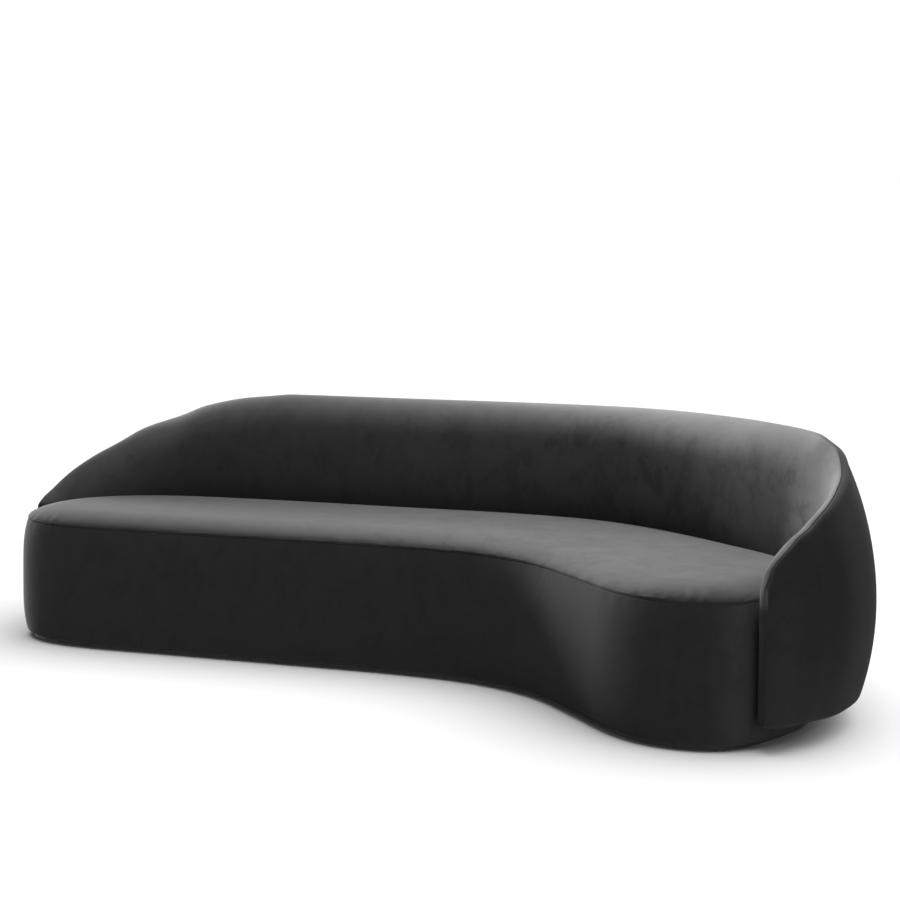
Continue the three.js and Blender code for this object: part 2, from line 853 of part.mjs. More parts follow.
function addBackPadding() {
  const foam = backPiece(frameStations, frameRows, [0, coverDepth], [0, insideSkinDepth - clearance]);
  addPiece("back_inside_foam", drilled(foam, boltHole), "foam");
  const padding = backPiece(frameStations, frameRows, [1, outsideSkinDepth - clearance], [1, coverDepth]);
  addPiece("back_outside_padding", padding, "foam");
  const rollRows = steps(rollRow, backRowCount - 1);
  const roll = backPiece(frameStations, rollRows, [0, coverDepth], [1, coverDepth]);
  addPiece("back_top_roll", roll, "foam");
  const endRows = steps(1, backRowCount - 1);
  const right = steps(0, frameStartStation - stationStep(frameStartStation - 1));
  addPiece("right_arm_end_foam", backPiece(right, endRows, [0, coverDepth], [1, coverDepth]), "foam");
  const left = steps(frameEndStation + stationStep(frameEndStation), backStations);
  addPiece("left_arm_end_foam", backPiece(left, endRows, [0, coverDepth], [1, coverDepth]), "foam");
}

function addBackFrame() {
  const innerSkin = [insideSkinDepth, insideFrameDepth - clearance];
  const outerSkin = [outsideFrameDepth - clearance, outsideSkinDepth];
  const inner = backPiece(frameStations, frameRows, [0, innerSkin[0]], [0, innerSkin[1]]);
  addPiece("back_inner_skin", drilled(inner, nutHole), "plywood");
  const outer = backPiece(frameStations, frameRows, [1, outerSkin[0]], [1, outerSkin[1]]);
  addPiece("back_outer_skin", outer, "plywood");
  const within = [
    [0, insideFrameDepth],
    [1, outsideFrameDepth],
  ];
  addPiece("back_bottom_rail", backPiece(frameStations, [1, 2], ...within), "plywood");
  addPiece("back_top_rail", backPiece(frameStations, [railRow, frameTopRow], ...within), "plywood");
  const ribRows = steps(2 + rowStep(2), railRow - rowStep(railRow - 1));
  const loose = within.map(([face, depth]) => [face, depth + ribPlay]);
  backRibStations.forEach((station, k) => {
    const half = ((ribThickness / 2) * stationStep(station)) / clearance;
    const rib = backPiece([station - half, station, station + half], ribRows, ...loose);
    addPiece(`back_rib_${k + 1}`, rib, "plywood");
  });
}

// A round piece turned from a closed profile of [radius, distance along the axis] points.
function turned(profile) {
  return new THREE.LatheGeometry(
    [...profile, profile[0]].map(([radius, along]) => new THREE.Vector2(radius, along)),
    boltSides,
  );
}

function addJoiningFasteners() {
  const shank = boltDiameter / 2;
  const head = boltHeadDiameter / 2;
  const bore = boltHole / 2;
  const nut = turned([
    [bore, -skinThickness],
    [nutBarrelDiameter / 2, -skinThickness],
    [nutBarrelDiameter / 2, 0],
    [nutFlangeDiameter / 2, 0],
    [nutFlangeDiameter / 2, nutFlangeThickness],
    [bore, nutFlangeThickness],
  ]);
  const layerLine = (depth) => backGrid.map((_, i) => layerNode(i, boltRow, 0, depth).setZ(0));
  const skinLine = loopPlaces.map((point) => blockPoint(point, -skinInset - skinThickness, 0));
  boltLines.forEach(({ place, height }, k) => {
    const headReaches = reachesAcross(place, skinLine, boltHeadDiameter);
    const nutReaches = reachesAcross(place, layerLine(insideFrameDepth - clearance), nutFlangeDiameter);
    const padReaches = reachesAcross(place, layerLine(0), padDiameter);
    const seat = Math.min(...headReaches) - fastenerPlay;
    const nutSeat = Math.max(...nutReaches) + fastenerPlay;
    const length = nutSeat + boltProjection - seat;
    const touched = [height - padDiameter / 2, ...sideHeights, height + padDiameter / 2].filter(
      (level) => Math.abs(level - height) <= padDiameter / 2,
    );
    const padStart = Math.max(...touched.map(sideFaceAt)) + fastenerPlay;
    const padEnd = Math.min(...padReaches) - fastenerPlay;
    const bolt = turned([
      [0, -boltHeadThickness],
      [head, -boltHeadThickness],
      [head, 0],
      [shank, 0],
      [shank, length],
      [0, length],
    ]);
    const pad = turned([
      [bore, padStart],
      [padDiameter / 2, padStart],
      [padDiameter / 2, padEnd],
      [bore, padEnd],
    ]);
    addPiece(`joining_bolt_${k + 1}`, bolt, "steel", boltLine(place, seat, height));
    addPiece(`joining_nut_${k + 1}`, nut, "steel", boltLine(place, nutSeat, height));
    addPiece(`joining_pad_${k + 1}`, pad, "rubber", boltLine(place, 0, height));
  });
}

addSideCover();
addSideFoam();
addSeatFrame();
addCrossBars();
addGlides();
addSeatPads();
addBackCovers();
addBackPadding();
addBackFrame();
addJoiningFasteners();

// The origin is under the middle of the sofa's overall box, on the floor.
const box = new THREE.Box3().setFromObject(assembly);
const middle = box.getCenter(new THREE.Vector3());
assembly.position.set(-middle.x, -middle.y, -box.min.z);
const sofa = new THREE.Group();
sofa.add(assembly);

export default sofa;
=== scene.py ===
"""A curved sofa in charcoal velvet: a bean-shaped seat block and a back that wraps round it.

Everything is in metres, Z up, with the front facing -Y and the floor at zero.
The rigid pieces keep their solids and get finishes. The cloth and foam pieces are made
here, each in the space of the solid that it stands for.
"""

import logging
import math
from dataclasses import dataclass, field
from enum import Enum
from typing import Callable, Sequence

import bpy
import numpy as np
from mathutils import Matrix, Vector


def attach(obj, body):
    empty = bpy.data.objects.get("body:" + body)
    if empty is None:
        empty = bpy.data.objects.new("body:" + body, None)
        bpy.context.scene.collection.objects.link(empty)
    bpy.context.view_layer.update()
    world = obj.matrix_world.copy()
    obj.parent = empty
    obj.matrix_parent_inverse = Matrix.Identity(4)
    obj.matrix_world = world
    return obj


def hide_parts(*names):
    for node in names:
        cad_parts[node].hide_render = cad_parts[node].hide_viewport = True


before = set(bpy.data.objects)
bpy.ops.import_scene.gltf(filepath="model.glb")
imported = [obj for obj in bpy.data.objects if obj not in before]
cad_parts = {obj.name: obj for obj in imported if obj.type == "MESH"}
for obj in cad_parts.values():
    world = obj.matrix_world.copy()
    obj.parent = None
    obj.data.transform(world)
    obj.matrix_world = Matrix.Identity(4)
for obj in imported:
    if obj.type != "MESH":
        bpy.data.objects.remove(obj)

LOG = logging.getLogger("sofa")
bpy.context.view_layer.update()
BATCH = 2000
WELD = 0.00002
SHARP = math.radians(50.0)

Table = Sequence[tuple[float, float]]
Three = tuple[float, float, float]
Colour = Three
Pattern = tuple[float | Three, ...]
Rows = list[tuple[np.ndarray, np.ndarray]]
Values = Callable[[np.ndarray], np.ndarray]


class Slot(Enum):
    """The sofa's finishes."""

    VELVET = "velvet"
    DUST_CLOTH = "dust_cloth"
    WEBBING = "webbing"
    TOPPER = "topper"
    FOAM = "foam"
    PLYWOOD = "plywood"
    PLINTH = "plinth"
    STEEL = "steel"
    PLASTIC = "plastic"
    RUBBER = "rubber"


class Side(Enum):
    """The two faces of the back: towards the sitter, or away."""

    INSIDE = -1
    OUTSIDE = 1


# Finishes


@dataclass(frozen=True)
class Paint:
    """A node tree under construction, for one finish or for the surround."""

    material: bpy.types.Material | bpy.types.World

    def node(self, kind: str, **values: object) -> bpy.types.Node:
        """Adds a node and sets its named inputs or properties.

        Args:
            kind: The node's type name.
            values: Input values by name, with underscores for spaces, or properties.

        Returns:
            The new node.
        """
        made = self.material.node_tree.nodes.new(kind)
        for name, value in values.items():
            socket = made.inputs.get(name.replace("_", " "))
            if socket is not None:
                socket.default_value = value
            else:
                setattr(made, name, value)
        return made

    def link(self, source: bpy.types.NodeSocket, target: bpy.types.NodeSocket) -> None:
        """Joins an output to an input."""
        self.material.node_tree.links.new(source, target)

    def places(self, scale: Three = (1, 1, 1)) -> bpy.types.NodeSocket:
        """Object coordinates, stretched by a scale.

        Args:
            scale: The scale of each axis.

        Returns:
            The coordinates.
        """
        coordinates = self.node("ShaderNodeTexCoord")
        mapping = self.node("ShaderNodeMapping", Scale=scale)
        self.link(coordinates.outputs["Object"], mapping.inputs["Vector"])
        return mapping.outputs["Vector"]

    def noise(
        self,
        scale: float,
        detail: float = 3.0,
        roughness: float = 0.5,
        distortion: float = 0.0,
        stretch: Three = (1, 1, 1),
    ) -> bpy.types.NodeSocket:
        """A cloud pattern from 0 to 1.

        Args:
            scale: Clouds per metre.
            detail: How many finer layers it has.
            roughness: How strong the finer layers are.
            distortion: How far the pattern is swirled.
            stretch: A scale for each axis.

        Returns:
            The pattern's value.
        """
        made = self.node(
            "ShaderNodeTexNoise",
            Scale=scale,
            Detail=detail,
            Roughness=roughness,
            Distortion=distortion,
        )
        self.link(self.places(stretch), made.inputs["Vector"])
        return made.outputs["Fac"]

    def ramp(self, value: bpy.types.NodeSocket, stops: Table) -> bpy.types.NodeSocket:
        """Turns a value into a grey.

        Args:
            value: The value.
            stops: The ramp's stops, as places and greys.

        Returns:
            The grey.
        """
        made = self.node("ShaderNodeValToRGB")
        band = made.color_ramp.elements
        while len(band) < len(stops):
            band.new(0.5)
        for element, (place, grey) in zip(band, stops):
            element.position = place
            element.color = (grey, grey, grey, 1)
        self.link(value, made.inputs["Fac"])
        return made.outputs["Color"]

    def mixed(
        self,
        fraction: float | bpy.types.NodeSocket,
        first: Colour | bpy.types.NodeSocket,
        second: Colour | bpy.types.NodeSocket,
        blend: str = "MIX",
    ) -> bpy.types.NodeSocket:
        """Mixes two colours by a fraction.

        Args:
            fraction: How much of the second colour there is.
            first: The first colour.
            second: The second colour.
            blend: How they are mixed.

        Returns:
            The mixed colour.
        """
        made = self.node("ShaderNodeMix", data_type="RGBA", blend_type=blend)
        sockets = (made.inputs["Factor"], made.inputs[6], made.inputs[7])
        for socket, value in zip(sockets, (fraction, first, second)):
            if isinstance(value, bpy.types.NodeSocket):
                self.link(value, socket)
            else:
                socket.default_value = (*value, 1) if isinstance(value, tuple) else value
        return made.outputs[2]

    def calculated(
        self, operation: str, first: bpy.types.NodeSocket, second: float | bpy.types.NodeSocket
    ) -> bpy.types.NodeSocket:
        """Reckons one value from two.

        Args:
            operation: What is done with them.
            first: The first value.
            second: The second value.

        Returns:
            The result.
        """
        made = self.node("ShaderNodeMath", operation=operation)
        self.link(first, made.inputs[0])
        if isinstance(second, float):
            made.inputs[1].default_value = second
        else:
            self.link(second, made.inputs[1])
        return made.outputs[0]

    def bump(
        self,
        height: bpy.types.NodeSocket,
        strength: float,
        distance: float,
        under: bpy.types.NodeSocket | None = None,
    ) -> bpy.types.NodeSocket:
        """Raises the surface by a pattern.

        Args:
            height: The pattern.
            strength: How strongly it tilts the surface.
            distance: How high the pattern's highest places are, in metres.
            under: An earlier bump that this one lies on.

        Returns:
            The surface's normal.
        """
        made = self.node("ShaderNodeBump", Strength=strength, Distance=distance)
        self.link(height, made.inputs["Height"])
        if under is not None:
            self.link(under, made.inputs["Normal"])
        return made.outputs["Normal"]

    def surface(self, shader: bpy.types.Node, *sources: bpy.types.NodeSocket) -> None:
        """Gives a shader its colour, roughness and normal, in that order."""
        for name, source in zip(("Base Color", "Roughness", "Normal"), sources):
            self.link(source, shader.inputs[name])


@dataclass(frozen=True)
class Finish:
    """A base for the finishes: a material with one Principled shader."""

    name: str

    def make(self) -> bpy.types.Material:
        """Makes the material and lets the finish dress it.

        Returns:
            The material.
        """
        material = bpy.data.materials.new(self.name)
        material.use_nodes = True
        shader = material.node_tree.nodes["Principled BSDF"]
        self.dress(Paint(material), shader)
        return material

    def dress(self, paint: Paint, shader: bpy.types.Node) -> None:
        """Sets up the shader; each finish has its own way."""
        raise NotImplementedError


@dataclass(frozen=True)
class Velvet(Finish):
    """Short-piled charcoal velvet, with brush marks, and with light and shade painted into its
    colour.

    Each piece carries a factor on its base colour that paints in light and shade from place to
    place, with 1 for the plain tone.
    """

    name: str = "charcoal_velvet"
    dark: Colour = (0.090, 0.090, 0.091)
    light: Colour = (0.110, 0.110, 0.111)
    darkest: Colour = (0.048, 0.048, 0.049)
    lightest: Colour = (0.158, 0.158, 0.160)
    hollow_pile: Colour = (0.93, 0.93, 0.93)
    raised_pile: Colour = (1.07, 1.07, 1.07)
    sheen: float = 0.35
    sheen_roughness: float = 0.8
    specular: float = 0.03
    pile_strength: float = 0.5
    brush: Pattern = (5.0, 3.0, 0.55, 0.8)
    stroke: Pattern = (16.0, 6.0, 0.70, 0.5, (1.0, 1.0, 0.80))
    pile: Pattern = (1300.0, 2.0, 0.6)
    brush_edges: Table = ((0.36, 0.0), (0.64, 1.0))
    dark_strokes: Table = ((0.38, 0.10), (0.50, 0.42), (0.56, 0.62))
    light_strokes: Table = ((0.40, 0.28), (0.47, 0.70), (0.60, 0.86))
    pile_tones: Table = ((0.25, 0.0), (0.75, 1.0))
    roughnesses: Table = ((0.3, 0.85), (0.7, 0.95))
    brush_height: float = 0.0011
    stroke_height: float = 0.0004
    pile_height: float = 0.00012

    def dress(self, paint: Paint, shader: bpy.types.Node) -> None:
        """Gives the shader its painted light and shade, brush marks and sheen.

        Args:
            paint: The material's node tree.
            shader: Its shader.
        """
        shader.inputs["Sheen Weight"].default_value = self.sheen
        shader.inputs["Sheen Roughness"].default_value = self.sheen_roughness
        shader.inputs["Sheen Tint"].default_value = (1, 1, 1, 1)
        shader.inputs["Specular IOR Level"].default_value = self.specular
        brush, stroke, pile = (paint.noise(*p) for p in (self.brush, self.stroke, self.pile))
        marks = paint.mixed(
            paint.ramp(brush, self.brush_edges),
            paint.ramp(stroke, self.dark_strokes),
            paint.ramp(stroke, self.light_strokes),
        )
        # The second attribute read here holds painted light and shade; the first holds how uneven
        # the brush marks are.
        brushed, nap = (
            paint.node("ShaderNodeAttribute", attribute_name=name).outputs[output]
            for name, output in (("brushed", "Fac"), ("nap", "Color"))
        )
        smooth = paint.mixed(marks, self.dark, self.light)
        uneven = paint.mixed(marks, self.darkest, self.lightest)
        fluff = paint.ramp(pile, self.pile_tones)
        fluff = paint.mixed(fluff, self.hollow_pile, self.raised_pile)
        tone = paint.mixed(1.0, paint.mixed(brushed, smooth, uneven), fluff, "MULTIPLY")
        bump = paint.bump(brush, 1.0, self.brush_height)
        bump = paint.bump(stroke, 1.0, self.stroke_height, bump)
        # The base colour is the tone multiplied by the painted light and shade.
        paint.surface(
            shader,
            paint.mixed(1.0, tone, nap, "MULTIPLY"),
            paint.ramp(stroke, self.roughnesses),
            paint.bump(pile, self.pile_strength, self.pile_height, bump),
        )


@dataclass(frozen=True)
class Plywood(Finish):
    """Birch plywood: pale, with long grain and darker streaks."""

    name: str = "birch_plywood"
    pale: Colour = (0.60, 0.42, 0.24)
    streak: Colour = (0.38, 0.24, 0.12)
    grain: Pattern = (26.0, 5.0, 0.6, 0.8, (0.35, 1.6, 5.0))
    fibre: Pattern = (240.0, 3.0, 0.6, 0.2, (0.25, 1.0, 1.0))
    grain_tones: Table = ((0.35, 0.0), (0.7, 1.0))
    fibre_tones: Table = ((0.4, 0.0), (0.9, 0.5))
    roughnesses: Table = ((0.2, 0.55), (0.8, 0.8))
    relief: tuple[float, float] = (0.4, 0.0004)

    def dress(self, paint: Paint, shader: bpy.types.Node) -> None:
        """Gives the shader its grain.

        Args:
            paint: The material's node tree.
            shader: Its shader.
        """
        grain, fibre = paint.noise(*self.grain), paint.noise(*self.fibre)
        tone = paint.mixed(paint.ramp(grain, self.grain_tones), self.pale, self.streak)
        paint.surface(
            shader,
            paint.mixed(paint.ramp(fibre, self.fibre_tones), tone, self.streak),
            paint.ramp(fibre, self.roughnesses),
            paint.bump(fibre, *self.relief),
        )


@dataclass(frozen=True)
class Clouded(Finish):
    """Stained wood or plated steel: two tones in clouds, which also roughen it.

    The clouds and the finer grain, where there is one, are given as a noise's settings, the
    tones and roughnesses as ramps, and the relief as a bump's strength and height.
    """

    first: Colour
    second: Colour
    clouds: Pattern
    tones: Table
    roughnesses: Table
    relief: tuple[float, float]
    grain: Pattern = ()
    metallic: float = 0.0

    def dress(self, paint: Paint, shader: bpy.types.Node) -> None:
        """Gives the shader its clouds and grain.

        Args:
            paint: The material's node tree.
            shader: Its shader.
        """
        shader.inputs["Metallic"].default_value = self.metallic
        clouds = paint.noise(*self.clouds)
        grain = paint.noise(*self.grain) if self.grain else clouds
        paint.surface(
            shader,
            paint.mixed(paint.ramp(clouds, self.tones), self.first, self.second),
            paint.ramp(clouds, self.roughnesses),
            paint.bump(grain, *self.relief),
        )


@dataclass(frozen=True)
class Moulded(Clouded):
    """Moulded rubber or nylon, scuffed and with a fine grain."""

    first: Colour = (0.022, 0.022, 0.022)
    second: Colour = (0.040, 0.040, 0.040)
    clouds: Pattern = (90.0, 4.0, 0.65)
    tones: Table = ((0.55, 0.0), (0.8, 1.0))
    roughnesses: Table = ((0.4, 0.7), (0.7, 0.9))
    relief: tuple[float, float] = (0.3, 0.0002)
    grain: Pattern = (900.0, 3.0, 0.6)


@dataclass(frozen=True)
class Foam(Finish):
    """Open-celled foam or wadding, speckled with pores."""

    name: str = "foam"
    colour: Colour = (0.78, 0.70, 0.46)
    pore: Colour = (0.55, 0.48, 0.30)
    cell_scale: float = 420.0
    pores: Table = ((0.05, 1.0), (0.45, 0.0))
    roughnesses: Table = ((0, 0.98), (1, 0.86))
    relief: tuple[float, float] = (0.7, 0.0012)

    def dress(self, paint: Paint, shader: bpy.types.Node) -> None:
        """Gives the shader its pores.

        Args:
            paint: The material's node tree.
            shader: Its shader.
        """
        cells = paint.node("ShaderNodeTexVoronoi", Scale=self.cell_scale, Randomness=1.0)
        paint.link(paint.places(), cells.inputs["Vector"])
        middle = cells.outputs["Distance"]
        paint.surface(
            shader,
            paint.mixed(paint.ramp(middle, self.pores), self.colour, self.pore),
            paint.ramp(middle, self.roughnesses),
            paint.bump(middle, *self.relief),
        )


@dataclass(frozen=True)
class Woven(Finish):
    """A plain woven cloth or strap: two sets of threads that cross."""

    name: str = "woven_cloth"
    thread: Colour = (0.020, 0.020, 0.021)
    raised: Colour = (0.050, 0.050, 0.052)
    thread_scale: float = 35.0
    wear_scale: float = 60.0
    roughnesses: Table = ((0.3, 0.82), (0.7, 0.96))
    relief: tuple[float, float] = (0.5, 0.0004)

    def dress(self, paint: Paint, shader: bpy.types.Node) -> None:
        """Gives the shader its weave.

        Args:
            paint: The material's node tree.
            shader: Its shader.
        """
        place, threads = paint.places(), []
        for way in ("X", "Y"):
            wave = paint.node("ShaderNodeTexWave", Scale=self.thread_scale, bands_direction=way)
            paint.link(place, wave.inputs["Vector"])
            threads.append(wave.outputs["Fac"])
        weave = paint.calculated("MULTIPLY", *threads)
        paint.surface(
            shader,
            paint.mixed(weave, self.thread, self.raised),
            paint.ramp(paint.noise(self.wear_scale), self.roughnesses),
            paint.bump(weave, *self.relief),
        )


class Finishes:
    """The sofa's finishes, each made once."""

    def __init__(self) -> None:
        """Makes the material of every slot."""
        made = {
            Slot.VELVET: Velvet(),
            Slot.DUST_CLOTH: Woven("black_dust_cloth"),
            Slot.WEBBING: Woven(
                "elastic_webbing",
                thread=(0.030, 0.026, 0.022),
                raised=(0.085, 0.075, 0.062),
                thread_scale=21.0,
            ),
            Slot.TOPPER: Foam(
                "polyester_wadding", colour=(0.86, 0.84, 0.79), pore=(0.72, 0.70, 0.64)
            ),
            Slot.FOAM: Foam("polyurethane_foam"),
            Slot.PLYWOOD: Plywood(),
            Slot.PLINTH: Clouded(
                "black_stained_wood",
                first=(0.010, 0.010, 0.010),
                second=(0.030, 0.028, 0.026),
                clouds=(60.0, 4.0, 0.6, 0.4, (0.3, 0.3, 4.0)),
                tones=((0.4, 0.0), (0.75, 1.0)),
                roughnesses=((0.3, 0.45), (0.7, 0.68)),
                relief=(0.3, 0.0005),
            ),
            Slot.STEEL: Clouded(
                "zinc_plated_steel",
                first=(0.50, 0.51, 0.52),
                second=(0.66, 0.66, 0.64),
                clouds=(260.0, 4.0, 0.6),
                tones=((0.3, 0.0), (0.7, 1.0)),
                roughnesses=((0.3, 0.26), (0.7, 0.44)),
                relief=(0.15, 0.0003),
                metallic=1.0,
            ),
            Slot.PLASTIC: Moulded(
                "black_nylon",
                first=(0.018, 0.018, 0.018),
                second=(0.045, 0.045, 0.044),
                roughnesses=((0.4, 0.42), (0.7, 0.60)),
            ),
            Slot.RUBBER: Moulded("black_rubber"),
        }
        self.by_slot = {slot: finish.make() for slot, finish in made.items()}

    def give(self, piece: bpy.types.Object, slot: Slot) -> None:
        """Gives a new piece its finish.

        Args:
            piece: The piece.
            slot: The finish that it gets.
        """
        piece.data.materials.clear()
        piece.data.materials.append(self.by_slot[slot])

    def repaint(self, node: str, slot: Slot) -> None:
        """Gives a carried-over solid its finish.

        Args:
            node: The solid's name.
            slot: The finish that it gets.
        """
        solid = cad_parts[node]
        if not solid.material_slots:
            solid.data.materials.append(None)
        for holder in solid.material_slots:
            holder.material = self.by_slot[slot]


# Shapes


def lengths_along(line: np.ndarray) -> np.ndarray:
    """How far along a line each of its points lies."""
    return np.concatenate([[0], np.cumsum(np.linalg.norm(np.diff(line, axis=0), axis=1))])


def read_off(table: Table, places: np.ndarray) -> np.ndarray:
    """Values read off a table of (place, value), straight from one row to the next."""
    return np.interp(places, *zip(*table))


@dataclass(frozen=True)
class Curve:
    """A smooth line through a table of (place, value), without overshoot."""

    table: Table

    def at(self, places: np.ndarray) -> np.ndarray:
        """The values at some places.

        Args:
            places: Places from the table's first to its last.

        Returns:
            A value for each place.
        """
        xs, ys = np.array(self.table, float).T
        spans = np.diff(xs)
        slopes = np.diff(ys) / spans
        product = slopes[:-1] * slopes[1:]
        total = np.where(product > 0, slopes[:-1] + slopes[1:], 1.0)
        inner = np.where(product > 0, 2 * product / total, 0.0)
        tangents = np.concatenate([slopes[:1], inner, slopes[-1:]])
        i = np.clip(np.searchsorted(xs, places, "left") - 1, 0, len(spans) - 1)
        t = (places - xs[i]) / spans[i]
        a, b, rise = tangents[i] * spans[i], tangents[i + 1] * spans[i], ys[i + 1] - ys[i]
        return ys[i] + t * (a + t * (3 * rise - 2 * a - b + t * (a + b - 2 * rise)))


@dataclass
class SeamLine:
    """The line round the seat block where its top meets its wall, seen from above."""

    width: float = 2.713
    depth: float = 1.167
    middle: tuple[float, float] = (1.4031036, 0.7261787)
    count: int = 960
    passes: int = 60
    turn_weight: float = 1.6
    shares: Table = (
        (0.049, 0.486), (0.104, 0.456), (0.252, 0.456), (0.418, 0.458), (0.528, 0.456),
        (0.62, 0.428), (0.698, 0.344), (0.771, 0.183), (0.823, 0.063), (0.867, 0.009),
        (0.919, 0.002), (0.95, 0.036), (0.978, 0.154), (1.0, 0.31), (0.993, 0.43),
        (0.959, 0.546), (0.886, 0.696), (0.797, 0.854), (0.709, 0.957), (0.602, 0.996),
        (0.436, 0.997), (0.233, 0.996), (0.123, 0.97), (0.053, 0.901), (0.012, 0.799),
        (-0.001, 0.679), (0.012, 0.559),
    )
    points: np.ndarray = field(init=False)
    normals: np.ndarray = field(init=False)
    left_end: float = field(init=False)
    right_end: float = field(init=False)

    def __post_init__(self) -> None:
        """Draws the line and finds its two ends."""
        corners = np.array(self.shares) * (self.width, self.depth) - self.middle
        points = self.resampled(self.drawn(corners))
        for _ in range(self.passes):
            beside = (np.roll(points, 1, 0) + np.roll(points, -1, 0)) / 2
            points = (beside + points) / 2
        along = np.roll(points, -1, 0) - np.roll(points, 1, 0)
        along /= np.linalg.norm(along, axis=1)[:, None]
        self.points = points
        self.normals = np.stack([along[:, 1], -along[:, 0]], 1)
        self.left_end = float(points[:, 0].argmin()) / self.count
        self.right_end = float(points[:, 0].argmax()) / self.count

    @staticmethod
    def drawn(corners: np.ndarray, steps: int = 200) -> np.ndarray:
        """A closed curve through the corners, at many small steps.

        Args:
            corners: The corners, in order.
            steps: How many steps lie between two corners.

        Returns:
            The curve's points.
        """
        pieces = []
        ts = np.arange(steps)[:, None] / steps
        for k in range(len(corners)):
            p0, p1, p2, p3 = (corners[(k + n) % len(corners)] for n in (-1, 0, 1, 2))
            d0, d1, d2 = (
                float(np.linalg.norm(b - a)) ** 0.5 for a, b in ((p0, p1), (p1, p2), (p2, p3))
            )
            m1 = d1 * ((p1 - p0) / d0 - (p2 - p0) / (d0 + d1) + (p2 - p1) / d1)
            m2 = d1 * ((p2 - p1) / d1 - (p3 - p1) / (d1 + d2) + (p3 - p2) / d2)
            bend, twist = 3 * (p2 - p1) - 2 * m1 - m2, 2 * (p1 - p2) + m1 + m2
            pieces.append(p1 + ts * m1 + ts**2 * bend + ts**3 * twist)
        return np.concatenate(pieces)

    def resampled(self, line: np.ndarray) -> np.ndarray:
        """The closed line at evenly spaced points.

        Args:
            line: The line's points.

        Returns:
            As many points as the seam line has.
        """
        closed = np.vstack([line, line[:1]])
        along = lengths_along(closed)
        wanted = np.arange(self.count) / self.count * along[-1]
        return np.stack([np.interp(wanted, along, closed[:, axis]) for axis in (0, 1)], 1)

    def at(self, shares: np.ndarray) -> tuple[np.ndarray, np.ndarray]:
        """Points and outward normals at shares of the way round.

        Args:
            shares: Shares of the way round, of any sign.

        Returns:
            The points and the unit normals.
        """
        place = np.mod(shares, 1.0) * self.count
        i = np.floor(place).astype(int) % self.count
        t = (place - np.floor(place))[:, None]
        j = (i + 1) % self.count
        normals = self.normals[i] * (1 - t) + self.normals[j] * t
        normals /= np.linalg.norm(normals, axis=1)[:, None]
        return self.points[i] * (1 - t) + self.points[j] * t, normals

    def spread(self, start: float, stop: float, count: int) -> np.ndarray:
        """Shares of the way round, closer together where the line turns.

        Args:
            start: The first share.
            stop: The last share.
            count: How many steps lie between them.

        Returns:
            count + 1 shares.
        """
        shares = start + (stop - start) * np.arange(self.count + 1) / self.count
        _, normals = self.at(shares)
        turns = np.arccos(np.clip((normals[1:] * normals[:-1]).sum(1), -1, 1)) / (2 * math.pi)
        weights = np.concatenate(
            [[0], np.cumsum((stop - start) / self.count + self.turn_weight * turns)]
        )
        return np.interp(np.linspace(0, weights[-1], count + 1), weights, shares)

    def nearest(self, places: np.ndarray) -> tuple[np.ndarray, np.ndarray]:
        """What the line has nearest to some places in the plan.

        Args:
            places: The places.

        Returns:
            For each place, how far the line is from it, and the line's normal there.
        """
        distances, normals = np.empty(len(places)), np.empty((len(places), 2))
        for k in range(0, len(places), BATCH):
            gaps = ((places[k : k + BATCH, None] - self.points[None]) ** 2).sum(2)
            distances[k : k + BATCH] = np.sqrt(gaps.min(1))
            normals[k : k + BATCH] = self.normals[gaps.argmin(1)]
        return distances, normals


